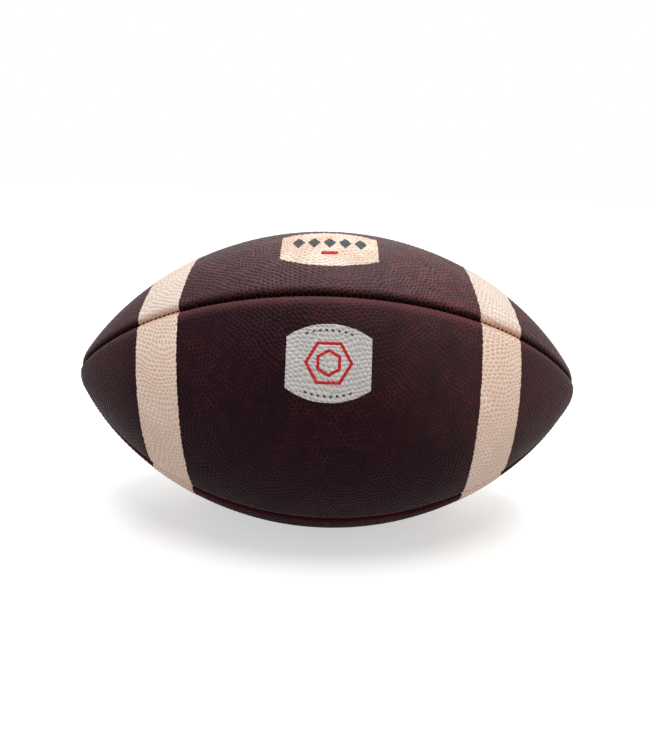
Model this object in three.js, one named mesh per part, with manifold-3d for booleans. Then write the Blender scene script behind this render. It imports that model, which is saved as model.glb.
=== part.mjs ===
// Gridiron football. Four pointed leather panels are sewn edge to edge over cloth linings,
// and the rubber bladder goes in through the slit that the lace closes.
// Millimetres. +X runs along the ball, +Z is up, the origin is the middle of the ball.

import * as THREE from "three";
import { mergeVertices } from "three/addons/utils/BufferGeometryUtils.js";
import Module from "manifold-3d";

const wasm = await Module();
wasm.setup();

// Inflated outline: a belly arc that runs into a tip arc at either end.
const ballLength = 285;
const girthRadius = 84.5;
const tipRadius = 24;

// Leather panels: rolled shoulders at the seams and sewn flanges that stand inward.
const leatherThickness = 2.2;
const shoulderWidth = 5;
const shoulderDrop = 2.6;
const flangeDepth = 7.2;
const flangeThickness = 2.2;
const flangeSplay = 0.95;
const seamGap = 0.3;
const taperRadius = 20;
const tipOpening = 1;
const restFlat = 0.35;

// Gap between a piece and the one it rests on.
const seatGap = 0.3;

// Flats along and across a panel.
const bellyFlats = 3;
const stripeFlats = 1;
const noseFlats = 3;
const tipFlats = 2;
const acrossFlats = 4;

// Painted stripes, measured along the leather from the girth line.
const stripeOffset = 76;
const stripeWidth = 26.4;
const coatThickness = 0.25;

// Printed fields: straight at the sides and bowed at the top and bottom.
const frontPrintWidth = 40;
const frontPrintSide = 24;
const frontPrintHeight = 37;
const frontPrintOffset = -1.2;
const frontPrintAround = THREE.MathUtils.degToRad(21);
const topPrintWidth = 49.8;
const topPrintSide = 26.2;
const topPrintHeight = 40.2;
const topPrintOffset = -2.4;
const topPrintAround = THREE.MathUtils.degToRad(71);
const bowSteps = 6;

// Cloth lining and rubber bladder.
const liningThickness = 0.9;
const bladderWall = 0.8;

// Seam thread, laid where the splayed flanges leave room for it.
const threadRadius = 0.4;
const threadClearance = 0.2;
const threadSides = 6;

// Lace: eight bars over one lengthwise run, through punched holes and two end holes.
const laceRows = 8;
const lacePitch = 12.5;
const laceWidth = 4.4;
const laceThickness = 1.8;
const laceChamfer = 0.7;
const laceHoleOffset = 9.5;
const laceHoleLength = 5.8;
const laceHoleWidth = 3.8;
const laceEndReach = 10.25;
const endHoleLength = 4.8;
const endHoleWidth = 5.8;
const laceFlangeDepth = 3.2;
const slitMargin = 2;

// Strips behind the lace.
const facingThickness = 1.6;
const facingWidth = 15;
const facingMargin = 8;
const tongueThickness = 1;
const tongueWidth = 26;
const tongueMargin = 4;

// Needle valve on the back panel, beside the lace.
const valveOffset = 34;
const valveRecess = 0.6;
const bossRadius = 3.7;
const coreRadius = 2;
const coreHeadRadius = 2.7;
const coreHeadLength = 2.4;
const stemRadius = 4.4;
const stemLength = 14;
const valveFlangeRadius = 9;
const valveFlangeThickness = 1.2;
const patchRadius = 13;

// Tracker in a bonded pocket opposite the valve.
const caseRadius = 15.5;
const caseWall = 1;
const cellRadius = 10;
const cellThickness = 3.2;
const cellRingWall = 1;
const boardThickness = 1;
const chipSize = 5;
const chipHeight = 0.9;
const antennaLength = 9;
const antennaWidth = 2.4;
const coverThickness = 1;
const pocketWall = 1.4;
const pocketLip = 4;

const roundSides = 12;
const holeSides = 8;

// Outline arcs worked out from the three sizes of the ball.
const tipCentre = ballLength / 2 - tipRadius;
const girthOverTip = girthRadius - tipRadius;
const bellyDrop = (tipCentre ** 2 - girthOverTip ** 2) / (2 * girthOverTip);
const bellyRadius = girthRadius + bellyDrop;
const girthAngle = Math.PI / 2;
const tipAngle = Math.atan2(bellyDrop, tipCentre);
const endAngle = Math.asin(tipOpening / tipRadius);
const stripeInnerAngle = girthAngle - stripeOffset / bellyRadius;
const stripeOuterAngle = stripeInnerAngle - stripeWidth / bellyRadius;
const halfPanel = Math.PI / 4;
const acrossSag = girthRadius * (1 - Math.cos(halfPanel / acrossFlats / 2));
const alongSag = bellyRadius * (1 - Math.cos(stripeOffset / bellyRadius / bellyFlats / 2));
const flatSag = acrossSag + alongSag;

// Row angles round the ball: front 0, top 90, back 180, bottom 270 degrees.
const panels = [
  { name: "front", middle: 0, lacedSide: 0 },
  { name: "top", middle: Math.PI / 2, lacedSide: 1 },
  { name: "back", middle: Math.PI, lacedSide: -1 },
  { name: "bottom", middle: 3 * Math.PI / 2, lacedSide: 0 },
];
const laceSeam = 3 * Math.PI / 4;
const valveAround = laceSeam + valveOffset / girthRadius;
const trackerAround = valveAround + Math.PI;

// Depths below the outer skin.
const threadShare = (threadRadius + threadClearance - seamGap / 2) / flangeSplay;
const threadDepth = shoulderDrop + threadShare * (flangeDepth - shoulderDrop);
const liningDepth = leatherThickness + seatGap;
const bladderDepth = liningDepth + liningThickness + seatGap;
const laceUnderDepth = liningDepth + facingThickness + flatSag + seatGap + laceThickness / 2;
const tongueDepth = laceUnderDepth + laceThickness / 2 + seatGap;
const laceOverHeight = laceThickness / 2 + seatGap;
const laceBarHeight = laceOverHeight + laceThickness + seatGap;
const laceHalf = (laceRows - 1) * lacePitch / 2;
const laceEnd = laceHalf + laceEndReach;
const slitHalf = laceEnd + slitMargin;

// Point on the meridian for a direction of the outward normal, at a depth under the skin.
function meridian(angle, depth) {
  const folded = Math.min(angle, Math.PI - angle);
  const side = angle > girthAngle ? -1 : 1;
  if (folded < tipAngle) {
    const tip = tipRadius - depth;
    return { x: side * (tipCentre + tip * Math.cos(folded)), r: tip * Math.sin(folded) };
  }
  const belly = bellyRadius - depth;
  return { x: side * belly * Math.cos(folded), r: belly * Math.sin(folded) - bellyDrop };
}

function place(angle, around, depth) {
  const { x, r } = meridian(angle, depth);
  return new THREE.Vector3(x, -r * Math.cos(around), r * Math.sin(around));
}

// Directions at a place on the skin: along the ball, across the panel and outward.
function directions(angle, around) {
  const sin = Math.sin(angle);
  const cos = Math.cos(angle);
  const along = new THREE.Vector3(sin, cos * Math.cos(around), -cos * Math.sin(around));
  const across = new THREE.Vector3(0, Math.sin(around), Math.cos(around));
  const outward = new THREE.Vector3(cos, -sin * Math.cos(around), sin * Math.sin(around));
  return { along, across, outward };
}

function seatMatrix(angle, around) {
  const { along, across, outward } = directions(angle, around);
  const matrix = new THREE.Matrix4().makeBasis(along, across, outward);
  return matrix.setPosition(place(angle, around, 0));
}

function steps(from, to, count) {
  return Array.from({ length: count }, (_, i) => from + (to - from) * i / count);
}

const halfStations = [
  ...steps(endAngle, tipAngle, tipFlats),
  ...steps(tipAngle, stripeOuterAngle, noseFlats),
  ...steps(stripeOuterAngle, stripeInnerAngle, stripeFlats),
  ...steps(stripeInnerAngle, girthAngle, bellyFlats),
];
const stations = [
  ...halfStations,
  girthAngle,
  ...halfStations.map((angle) => Math.PI - angle).reverse(),
];

// How far out and down the shoulder's middle lies, as a share of its width and drop.
const halfRoll = 1 - Math.SQRT1_2;

// The sewn edge shrinks with the radius as the four points come together.
function taper(angle) {
  return Math.min(1, meridian(angle, 0).r / taperRadius);
}

function seamOffset(angle, depth, distance) {
  return halfPanel - Math.asin(distance / meridian(angle, depth).r);
}

function columnOffset(angle, column) {
  const shoulder = seamGap / 2 + shoulderWidth * taper(angle);
  return column / acrossFlats * seamOffset(angle, 0, shoulder);
}

function flangeEnd(angle, laced) {
  const inSlit = laced && Math.abs(meridian(angle, 0).x) <= slitHalf;
  const full = inSlit ? laceFlangeDepth : flangeDepth;
  return leatherThickness + taper(angle) * (full - leatherThickness);
}

// One edge of a panel from the shoulder round the flange to the inner corner.
function edgeSection(angle, laced) {
  const size = taper(angle);
  const face = seamGap / 2;
  const roll = shoulderWidth * size;
  const drop = shoulderDrop * size;
  const end = flangeEnd(angle, laced);
  const splay = flangeSplay * size * (end - drop) / (flangeDepth - shoulderDrop);
  const inner = face + flangeThickness * size;
  const outline = [
    [face + roll, 0],
    [face + roll * halfRoll, drop * halfRoll],
    [face, drop],
    [face + splay, end],
    [inner + splay, end],
    [inner, leatherThickness],
  ];
  return outline.map(([distance, depth]) => ({ around: seamOffset(angle, depth, distance), depth }));
}

function flats(angle, depth, reach) {
  const row = [];
  for (let column = -reach; column <= reach; column += 1) {
    row.push({ around: columnOffset(angle, column), depth });
  }
  return row;
}

function mirrored(section) {
  return section.map(({ around, depth }) => ({ around: -around, depth })).reverse();
}

function panelSection(angle, lacedSide) {
  const reach = acrossFlats - 1;
  const right = edgeSection(angle, lacedSide > 0);
  const left = edgeSection(angle, lacedSide < 0);
  return [
    ...flats(angle, 0, reach),
    ...right,
    ...flats(angle, leatherThickness, reach).reverse(),
    ...mirrored(left),
  ];
}

// Cloth or leather layer that lies behind a panel, between its two flanges.
function layerSection(angle, outer, inner) {
  const reach = acrossFlats - 1;
  const lean = flangeSplay * (inner - leatherThickness) / (flangeDepth - leatherThickness);
  const distance = seamGap / 2 + (flangeThickness + lean) * taper(angle) + seatGap;
  const outerEdge = { around: seamOffset(angle, outer, distance), depth: outer };
  const innerEdge = { around: seamOffset(angle, inner, distance), depth: inner };
  return [
    ...flats(angle, outer, reach),
    outerEdge,
    innerEdge,
    ...flats(angle, inner, reach).reverse(),
    ...mirrored([outerEdge, innerEdge]),
  ];
}

// Coat of paint over the skin and half way down both shoulders.
function coatSection(angle) {
  const out = seamGap / 2 + shoulderWidth * halfRoll;
  const lift = shoulderDrop * halfRoll;
  const top = lift - coatThickness;
  const topEdge = { around: seamOffset(angle, top, out), depth: top };
  const skinEdge = { around: seamOffset(angle, lift, out), depth: lift };
  return [
    ...flats(angle, -coatThickness, acrossFlats),
    topEdge,
    skinEdge,
    ...flats(angle, 0, acrossFlats).reverse(),
    ...mirrored([topEdge, skinEdge]),
  ];
}

function signedVolume(points, index) {
  let sum = 0;
  for (let i = 0; i < index.length; i += 3) {
    const [a, b, c] = [points[index[i]], points[index[i + 1]], points[index[i + 2]]];
    sum += a.dot(b.clone().cross(c)) / 6;
  }
  return sum;
}

function closedGeometry(points, index) {
  const out = signedVolume(points, index) > 0 ? index : index.slice().reverse();
  const geometry = new THREE.BufferGeometry().setFromPoints(points);
  geometry.setIndex(out);
  return geometry;
}

// Walls between neighbouring rings, each quad split along the diagonal that slope picks.
function ringWalls(rings, slope) {
  const count = rings[0].length;
  const index = [];
  for (let i = 0; i + 1 < rings.length; i += 1) {
    for (let j = 0; j < count; j += 1) {
      const next = (j + 1) % count;
      const a = i * count + j;
      const b = i * count + next;
      const c = b + count;
      const d = a + count;
      if (slope(i, j, next)) {
        index.push(b, a, d, b, d, c);
      } else {
        index.push(b, a, c, a, d, c);
      }
    }
  }
  return index;
}

function capFaces(outline) {
  const faces = THREE.ShapeUtils.triangulateShape(outline, []);
  const [a, b, c] = faces[0].map((i) => outline[i]);
  const turn = THREE.ShapeUtils.area([a, b, c]) * THREE.ShapeUtils.area(outline);
  return turn > 0 ? faces : faces.map((face) => face.slice().reverse());
}

function cappedLoft(rings, outlines, slope) {
  const count = rings[0].length;
  const last = (rings.length - 1) * count;
  const index = ringWalls(rings, slope);
  capFaces(outlines[0]).forEach((face) => index.push(...face));
  capFaces(outlines[1]).forEach(([a, b, c]) => index.push(last + c, last + b, last + a));
  return closedGeometry(rings.flat(), index);
}

// Loft of a panel, layer or coat from station to station.
function loftAlong(angles, middle, sectionAt) {
  const sections = angles.map(sectionAt);
  const rings = sections.map((section, i) =>
    section.map(({ around, depth }) => place(angles[i], middle + around, depth)));
  const endView = (i) => sections[i].map(({ around, depth }) => {
    const { r } = meridian(angles[i], depth);
    return new THREE.Vector2(r * Math.cos(around), r * Math.sin(around));
  });
  const outlines = [endView(0), endView(angles.length - 1)];
  return cappedLoft(rings, outlines, (i, j, next) => sections[i][next].around > sections[i][j].around);
}

// Band or cord swept along a list of rings with a convex section.
function sweep(rings) {
  const outline = rings[0].map((_, j) => {
    const turn = 2 * Math.PI * j / rings[0].length;
    return new THREE.Vector2(Math.cos(turn), Math.sin(turn));
  });
  return cappedLoft(rings, [outline, outline], () => true);
}

function solidOf(geometry) {
  const bare = geometry.clone();
  bare.deleteAttribute("normal");
  bare.deleteAttribute("uv");
  const merged = mergeVertices(bare);
  const vertProperties = new Float32Array(merged.attributes.position.array);
  const triVerts = new Uint32Array(merged.index.array);
  return new wasm.Manifold(new wasm.Mesh({ numProp: 3, vertProperties, triVerts }));
}

function geometryOf(solid) {
  const mesh = solid.getMesh();
  const geometry = new THREE.BufferGeometry();
  geometry.setAttribute("position", new THREE.BufferAttribute(mesh.vertProperties, 3));
  geometry.setIndex(Array.from(mesh.triVerts));
  return geometry;
}

// Round bar along the local Z axis between two heights.
function bar(radius, from, to, sides) {
  const geometry = new THREE.CylinderGeometry(radius, radius, to - from, sides);
  geometry.rotateX(Math.PI / 2);
  return geometry.translate(0, 0, (from + to) / 2);
}

function seated(geometry, matrix) {
  return solidOf(geometry.clone().applyMatrix4(matrix));
}

function laceAngle(along) {
  return girthAngle - along / bellyRadius;
}

function laceAround(along, across) {
  return laceSeam + across / meridian(laceAngle(along), 0).r;
}

// Cutter for a punched hole beside or on the lace seam.
function laceHole(along, across, length, width) {
  const reach = laceUnderDepth + laceThickness;
  const punch = bar(1, -reach, reach, holeSides).scale(length / 2, width / 2, 1);
  return seated(punch, seatMatrix(laceAngle(along), laceAround(along, across)));
}

const rowPositions = Array.from({ length: laceRows }, (_, row) => row * lacePitch - laceHalf);
const endHoles = [-laceEnd, laceEnd].map((along) => laceHole(along, 0, endHoleLength, endHoleWidth));

function sideHoles(side) {
  const across = side * laceHoleOffset;
  return rowPositions.map((along) => laceHole(along, across, laceHoleLength, laceHoleWidth));
}

function cutAll(solid, cutters) {
  return cutters.reduce((body, cutter) => body.subtract(cutter), solid);
}

// Block over the lace seam, from one distance across to another, for cutting layers.
function laceBlock(half, from, to, outer, inner) {
  const angles = steps(half, -half, bellyFlats * 2).concat(-half).map(laceAngle);
  const rings = angles.map((angle) => {
    const radius = meridian(angle, 0).r;
    const corner = (across, depth) => place(angle, laceSeam + across / radius, depth);
    return [corner(from, outer), corner(to, outer), corner(to, inner), corner(from, inner)];
  });
  return sweep(rings);
}

function facingBlock(side, grow) {
  const half = laceEnd + facingMargin + grow;
  const from = seamGap * side;
  const to = (facingWidth + grow) * side;
  return solidOf(laceBlock(half, from, to, 0, laceUnderDepth + laceThickness));
}

const valveSeat = seatMatrix(girthAngle, valveAround);
const trackerSeat = seatMatrix(girthAngle, trackerAround);
const valveHole = seated(bar(bossRadius + seatGap, -stemLength, stemLength, roundSides), valveSeat);

function leatherPanel({ name, middle, lacedSide }) {
  const loft = loftAlong(stations, middle, (angle) => panelSection(angle, lacedSide));
  let solid = solidOf(loft);
  if (lacedSide) {
    solid = cutAll(solid, [...sideHoles(-lacedSide), ...endHoles]);
  }
  if (name === "back") {
    solid = solid.subtract(valveHole);
  }
  if (name === "bottom") {
    const ground = new THREE.BoxGeometry(ballLength, girthRadius, girthRadius);
    ground.translate(0, 0, restFlat - girthRadius * 1.5);
    solid = solid.subtract(solidOf(ground));
  }
  return geometryOf(solid);
}

const layerStations = stations.filter((angle) => Math.min(angle, Math.PI - angle) >= tipAngle);

function layerSolid(middle, outer, inner) {
  return solidOf(loftAlong(layerStations, middle, (angle) => layerSection(angle, outer, inner)));
}

const patchReach = girthRadius / 4;

function clothLining({ name, middle, lacedSide }) {
  let solid = layerSolid(middle, liningDepth, liningDepth + liningThickness);
  if (lacedSide) {
    solid = solid.subtract(facingBlock(-lacedSide, seatGap));
  }
  if (name === "back") {
    const opening = bar(patchRadius + seatGap, -patchReach, patchReach, roundSides);
    solid = solid.subtract(seated(opening, valveSeat));
  }
  return geometryOf(solid);
}

function laceFacing({ middle, lacedSide }) {
  const layer = layerSolid(middle, liningDepth, liningDepth + facingThickness);
  const strip = layer.intersect(facingBlock(-lacedSide, 0));
  return geometryOf(cutAll(strip, [...sideHoles(-lacedSide), ...endHoles]));
}

function valvePatch({ middle }) {
  const layer = layerSolid(middle, liningDepth, liningDepth + liningThickness);
  const disc = seated(bar(patchRadius, -patchReach, patchReach, roundSides), valveSeat);
  return geometryOf(layer.intersect(disc).subtract(valveHole));
}

function stripeCoat({ middle }, inner, outer) {
  const low = Math.min(inner, outer);
  const high = Math.max(inner, outer);
  const angles = stations.filter((angle) => angle >= low && angle <= high);
  return loftAlong(angles, middle, coatSection);
}

// Field with two straight sides and two bowed ones, cut through a coat on the belly of a panel.
function printedField({ middle }, fromGirth, around, width, side, height) {
  const bow = (height - side) / 2;
  const radius = (width ** 2 / 4 + bow ** 2) / (2 * bow);
  const reach = Math.asin(width / 2 / radius);
  const shape = new THREE.Shape();
  shape.absarc(0, height / 2 - radius, radius, Math.PI / 2 - reach, Math.PI / 2 + reach, false);
  shape.absarc(0, radius - height / 2, radius, -Math.PI / 2 - reach, reach - Math.PI / 2, false);
  shape.closePath();
  const form = { depth: girthRadius, bevelEnabled: false, curveSegments: bowSteps };
  const prism = new THREE.ExtrudeGeometry(shape, form);
  prism.translate(0, 0, -girthRadius / 2);
  const belly = stations.filter((angle) => Math.abs(angle - girthAngle) < stripeOffset / bellyRadius);
  const coat = solidOf(loftAlong(belly, middle, coatSection));
  const seat = seatMatrix(girthAngle - fromGirth / bellyRadius, around);
  return geometryOf(coat.intersect(seated(prism, seat)));
}

// Thread along a seam through the stations where the groove has its full size.
function seamThread(seam, angles) {
  const reach = threadRadius / Math.cos(Math.PI / threadSides);
  const rings = angles.map((angle) => {
    const centre = place(angle, seam, threadDepth);
    const { across, outward } = directions(angle, seam);
    return Array.from({ length: threadSides }, (_, j) => {
      const turn = 2 * Math.PI * j / threadSides;
      const point = centre.clone().addScaledVector(across, reach * Math.cos(turn));
      return point.addScaledVector(outward, reach * Math.sin(turn));
    });
  });
  return sweep(rings);
}

const threadStations = stations.filter((angle) => taper(angle) >= 1);
const outsideSlit = (angle) => Math.abs(meridian(angle, 0).x) > slitHalf;
const rightThread = threadStations.filter((angle) => angle < girthAngle && outsideSlit(angle));
const leftThread = threadStations.filter((angle) => angle > girthAngle && outsideSlit(angle));

// Route of the lace: along the ball, across the seam, height over the skin, turn of the band.
function laceRoute() {
  const hole = laceHoleOffset;
  const bend = laceThickness;
  const under = -laceUnderDepth;
  const throat = -liningDepth - facingThickness - flatSag;
  const lengthwise = Math.PI / 2;
  const diagonal = -Math.atan2(lacePitch, 2 * (hole - bend));
  const route = [];
  const go = (along, across, height, turn) => route.push({ along, across, height, turn });
  const dive = (end, side) => [
    [end - side * laceEndReach / 2, 0, laceOverHeight, lengthwise],
    [end - side * bend, 0, laceOverHeight, lengthwise],
    [end, 0, -leatherThickness, lengthwise],
    [end - side * bend, 0, under, lengthwise],
    [end - side * laceEndReach / 2, 0, under, lengthwise],
  ];
  dive(laceEnd, 1).reverse().forEach((stop) => go(...stop));
  rowPositions.slice().reverse().forEach((along) => go(along, 0, laceOverHeight, lengthwise));
  dive(-laceEnd, -1).forEach((stop) => go(...stop));
  const first = rowPositions[0];
  go(first - bend, hole / 4, under, lengthwise / 2);
  rowPositions.forEach((along, row) => {
    const turnIn = row === 0 ? 0 : diagonal / 2;
    const turnOut = row === laceRows - 1 ? 0 : diagonal / 2;
    go(along, hole - bend, under, turnIn);
    go(along, hole, throat, 0);
    go(along, hole, -leatherThickness / 2, 0);
    go(along, hole - bend, laceOverHeight, 0);
    go(along, laceWidth / 4, laceBarHeight, 0);
    go(along, -laceWidth / 4, laceBarHeight, 0);
    go(along, bend - hole, laceOverHeight, 0);
    go(along, -hole, -leatherThickness / 2, 0);
    go(along, -hole, throat, 0);
    go(along, bend - hole, under, turnOut);
    if (row < laceRows - 1) {
      go(along + lacePitch / 2, 0, under, diagonal);
    }
  });
  return route;
}

// Flat band with chamfered edges, its width turned in the plane of the skin.
function laceBand() {
  const route = laceRoute();
  const spots = route.map(({ along, across, height }) =>
    place(laceAngle(along), laceAround(along, across), -height));
  const half = laceWidth / 2;
  const thick = laceThickness / 2;
  const flat = half - laceChamfer;
  const section = [[half, 0], [flat, thick], [-flat, thick], [-half, 0], [-flat, -thick], [flat, -thick]];
  const rings = route.map(({ along, across, turn }, i) => {
    const { along: lengthways, across: crossways } = directions(laceAngle(along), laceAround(along, across));
    const before = spots[Math.max(i - 1, 0)];
    const after = spots[Math.min(i + 1, spots.length - 1)];
    const heading = after.clone().sub(before).normalize();
    const width = lengthways.multiplyScalar(Math.cos(turn)).addScaledVector(crossways, Math.sin(turn));
    width.addScaledVector(heading, -heading.dot(width)).normalize();
    const face = heading.clone().cross(width);
    return section.map(([w, t]) => spots[i].clone().addScaledVector(width, w).addScaledVector(face, t));
  });
  return sweep(rings);
}

function laceTongue() {
  const half = laceEnd + tongueMargin;
  const inner = tongueDepth + tongueThickness;
  return laceBlock(half, -tongueWidth / 2, tongueWidth / 2, tongueDepth, inner);
}

// Depth of a fold in the bladder that clears a given depth at a given distance from the seam.
function foldDepth(angle, clearDepth, distance) {
  const { r } = meridian(angle, bladderDepth);
  const span = r * Math.sin(halfPanel - columnOffset(angle, acrossFlats / 2));
  const need = Math.max(0, clearDepth + seatGap - bladderDepth);
  return bladderDepth + need * span / (span - distance);
}

// Bladder skin: full between the seams, folded in over the flanges and under the lace.
function bladderSolid(extra) {
  const tongueFoot = tongueDepth + tongueThickness;
  const rings = stations.map((angle) => panels.flatMap(({ middle, lacedSide }) => {
    const half = columnOffset(angle, acrossFlats / 2);
    const flangeInner = seamGap / 2 + (flangeThickness + flangeSplay) * taper(angle);
    const overFlange = foldDepth(angle, flangeEnd(angle, false), flangeInner);
    const underLace = lacedSide > 0 && Math.abs(meridian(angle, 0).x) <= stripeOffset;
    const fold = underLace ? foldDepth(angle, tongueFoot, tongueWidth / 2) : overFlange;
    return [
      place(angle, middle - half, bladderDepth + extra),
      place(angle, middle, bladderDepth + extra),
      place(angle, middle + half, bladderDepth + extra),
      place(angle, middle + halfPanel, fold + extra),
    ];
  }));
  const tips = [0, Math.PI].map((angle) => place(angle, 0, bladderDepth + extra));
  const points = [tips[0], ...rings.flat(), tips[1]];
  const count = rings[0].length;
  const index = ringWalls(rings, () => true).map((i) => i + 1);
  const lastRing = 1 + (rings.length - 1) * count;
  for (let j = 0; j < count; j += 1) {
    const next = (j + 1) % count;
    index.push(0, 1 + j, 1 + next);
    index.push(points.length - 1, lastRing + next, lastRing + j);
  }
  return solidOf(closedGeometry(points, index));
}

const bladderRoom = bladderSolid(bladderWall);
const fittingRoom = bladderSolid(bladderWall + seatGap);

function rubberBladder() {
  return geometryOf(bladderSolid(0).subtract(bladderRoom).subtract(valveHole));
}

// Rubber housing: a boss through the leather, a bonded flange and a stem inside the bladder.
function valveHousing() {
  const reach = -stemLength - bladderDepth;
  const washer = fittingRoom.subtract(bladderSolid(bladderWall + seatGap + valveFlangeThickness));
  const flange = washer.intersect(seated(bar(valveFlangeRadius, reach, 0, roundSides), valveSeat));
  const boss = seated(bar(bossRadius, reach, -valveRecess, roundSides), valveSeat);
  const stem = seated(bar(stemRadius, reach, 0, roundSides), valveSeat).intersect(fittingRoom);
  const bore = seated(bar(coreRadius + seatGap, reach * 2, stemLength, holeSides), valveSeat);
  const headTop = -valveRecess - coreHeadLength - seatGap;
  const headRoom = seated(bar(coreHeadRadius + seatGap, headTop, stemLength, holeSides), valveSeat);
  return geometryOf(flange.add(boss).add(stem).subtract(bore).subtract(headRoom));
}

// Self-sealing plug with a wider head, flush with the boss.
function valveCore() {
  const foot = -stemLength - bladderDepth;
  const neck = -valveRecess - coreHeadLength;
  const profile = [
    new THREE.Vector2(0, foot),
    new THREE.Vector2(coreRadius, foot),
    new THREE.Vector2(coreRadius, neck),
    new THREE.Vector2(coreHeadRadius, neck),
    new THREE.Vector2(coreHeadRadius, -valveRecess),
    new THREE.Vector2(0, -valveRecess),
  ];
  return turned(profile, holeSides);
}

// Revolve about the local Z axis.
function turned(profile, sides) {
  const geometry = new THREE.LatheGeometry(profile, sides);
  geometry.rotateX(Math.PI / 2);
  return geometryOf(solidOf(geometry));
}

// Tracker heights below the skin, from the cover down to the pocket floor. The cover clears
// the bladder's flats and its slope towards the fold at the seam.
const foldStep = halfPanel - columnOffset(girthAngle, acrossFlats / 2);
const foldRise = foldDepth(girthAngle, flangeDepth, flangeThickness + flangeSplay) - bladderDepth;
const foldSpan = meridian(girthAngle, bladderDepth).r * Math.sin(foldStep);
const bladderSlope = Math.tan(foldStep / 2) + foldRise / foldSpan;
const coverTop = -bladderDepth - bladderWall - seatGap - (caseRadius + seatGap) * bladderSlope;
const caseTop = coverTop - coverThickness - seatGap;
const boardTop = caseTop - seatGap - chipHeight;
const boardFoot = boardTop - boardThickness;
const ringTop = boardFoot - seatGap;
const cellTop = ringTop - seatGap;
const caseFloor = cellTop - cellThickness - seatGap;
const caseFoot = caseFloor - caseWall;
const pocketFloor = caseFoot - seatGap;

function trackerPocket() {
  const foot = pocketFloor - pocketWall;
  const outer = caseRadius + seatGap + pocketWall;
  const washer = fittingRoom.subtract(bladderSolid(bladderWall + seatGap + pocketWall));
  const lip = washer.intersect(seated(bar(outer + pocketLip, foot, 0, roundSides), trackerSeat));
  const cup = fittingRoom.intersect(seated(bar(outer, foot, 0, roundSides), trackerSeat));
  const room = seated(bar(caseRadius + seatGap, pocketFloor, 0, roundSides), trackerSeat);
  return geometryOf(lip.add(cup).subtract(room));
}

function trackerCase() {
  const inside = caseRadius - caseWall;
  const ringInner = cellRadius + seatGap;
  const ringOuter = ringInner + cellRingWall;
  const profile = [
    new THREE.Vector2(0, caseFoot),
    new THREE.Vector2(caseRadius, caseFoot),
    new THREE.Vector2(caseRadius, caseTop),
    new THREE.Vector2(inside, caseTop),
    new THREE.Vector2(inside, caseFloor),
    new THREE.Vector2(ringOuter, caseFloor),
    new THREE.Vector2(ringOuter, ringTop),
    new THREE.Vector2(ringInner, ringTop),
    new THREE.Vector2(ringInner, caseFloor),
    new THREE.Vector2(0, caseFloor),
  ];
  return turned(profile, roundSides);
}

function trackerBoard() {
  const disc = solidOf(bar(caseRadius - caseWall - seatGap, boardFoot, boardTop, roundSides));
  const chip = new THREE.BoxGeometry(chipSize, chipSize, chipHeight + boardThickness);
  chip.translate(0, 0, boardTop + (chipHeight - boardThickness) / 2);
  const antenna = new THREE.BoxGeometry(antennaLength, antennaWidth, chipHeight + boardThickness);
  antenna.translate(0, cellRadius, boardTop + (chipHeight - boardThickness) / 2);
  return geometryOf(disc.add(solidOf(chip)).add(solidOf(antenna)));
}

const finishes = {
  leather: new THREE.MeshStandardMaterial({ color: 0x2c1d1c, roughness: 0.55, metalness: 0 }),
  paint: new THREE.MeshStandardMaterial({ color: 0xe3cfc0, roughness: 0.6, metalness: 0 }),
  print: new THREE.MeshStandardMaterial({ color: 0xd5d0cc, roughness: 0.5, metalness: 0 }),
  thread: new THREE.MeshStandardMaterial({ color: 0x2b2522, roughness: 0.8, metalness: 0 }),
  lace: new THREE.MeshStandardMaterial({ color: 0xe9e4d8, roughness: 0.6, metalness: 0 }),
  facing: new THREE.MeshStandardMaterial({ color: 0x5a3a2a, roughness: 0.7, metalness: 0 }),
  cloth: new THREE.MeshStandardMaterial({ color: 0xcfc6b4, roughness: 0.9, metalness: 0 }),
  rubber: new THREE.MeshStandardMaterial({ color: 0x26262a, roughness: 0.7, metalness: 0 }),
  plastic: new THREE.MeshStandardMaterial({ color: 0x3a3d42, roughness: 0.5, metalness: 0 }),
  board: new THREE.MeshStandardMaterial({ color: 0x1f5a38, roughness: 0.5, metalness: 0 }),
  cell: new THREE.MeshStandardMaterial({ color: 0xb9bcc0, roughness: 0.35, metalness: 1 }),
};

const football = new THREE.Group();
football.name = "football";

function addPiece(name, geometry, finish, parent = football) {
  geometry.computeVertexNormals();
  const mesh = new THREE.Mesh(geometry, finishes[finish]);
  mesh.name = name;
  parent.add(mesh);
}

const [front, top, back] = panels;
const laced = panels.filter(({ lacedSide }) => lacedSide !== 0);

panels.forEach((panel) => addPiece(`panel_${panel.name}`, leatherPanel(panel), "leather"));
panels.forEach((panel) => {
  const left = stripeCoat(panel, Math.PI - stripeInnerAngle, Math.PI - stripeOuterAngle);
  const right = stripeCoat(panel, stripeInnerAngle, stripeOuterAngle);
  addPiece(`stripe_left_${panel.name}`, left, "paint");
  addPiece(`stripe_right_${panel.name}`, right, "paint");
});
const frontOutline = [frontPrintWidth, frontPrintSide, frontPrintHeight];
const topOutline = [topPrintWidth, topPrintSide, topPrintHeight];
const frontPrint = printedField(front, frontPrintOffset, frontPrintAround, ...frontOutline);
const topPrint = printedField(top, topPrintOffset, topPrintAround, ...topOutline);
addPiece("print_front", frontPrint, "print");
addPiece("print_top", topPrint, "print");

addPiece("seam_thread_front_top", seamThread(front.middle + halfPanel, threadStations), "thread");
addPiece("seam_thread_back_bottom", seamThread(back.middle + halfPanel, threadStations), "thread");
addPiece("seam_thread_bottom_front", seamThread(front.middle - halfPanel, threadStations), "thread");
addPiece("seam_thread_lace_left", seamThread(laceSeam, leftThread), "thread");
addPiece("seam_thread_lace_right", seamThread(laceSeam, rightThread), "thread");

addPiece("lace", laceBand(), "lace");
laced.forEach((panel) => addPiece(`lace_facing_${panel.name}`, laceFacing(panel), "facing"));
addPiece("lace_tongue", laceTongue(), "facing");

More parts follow.
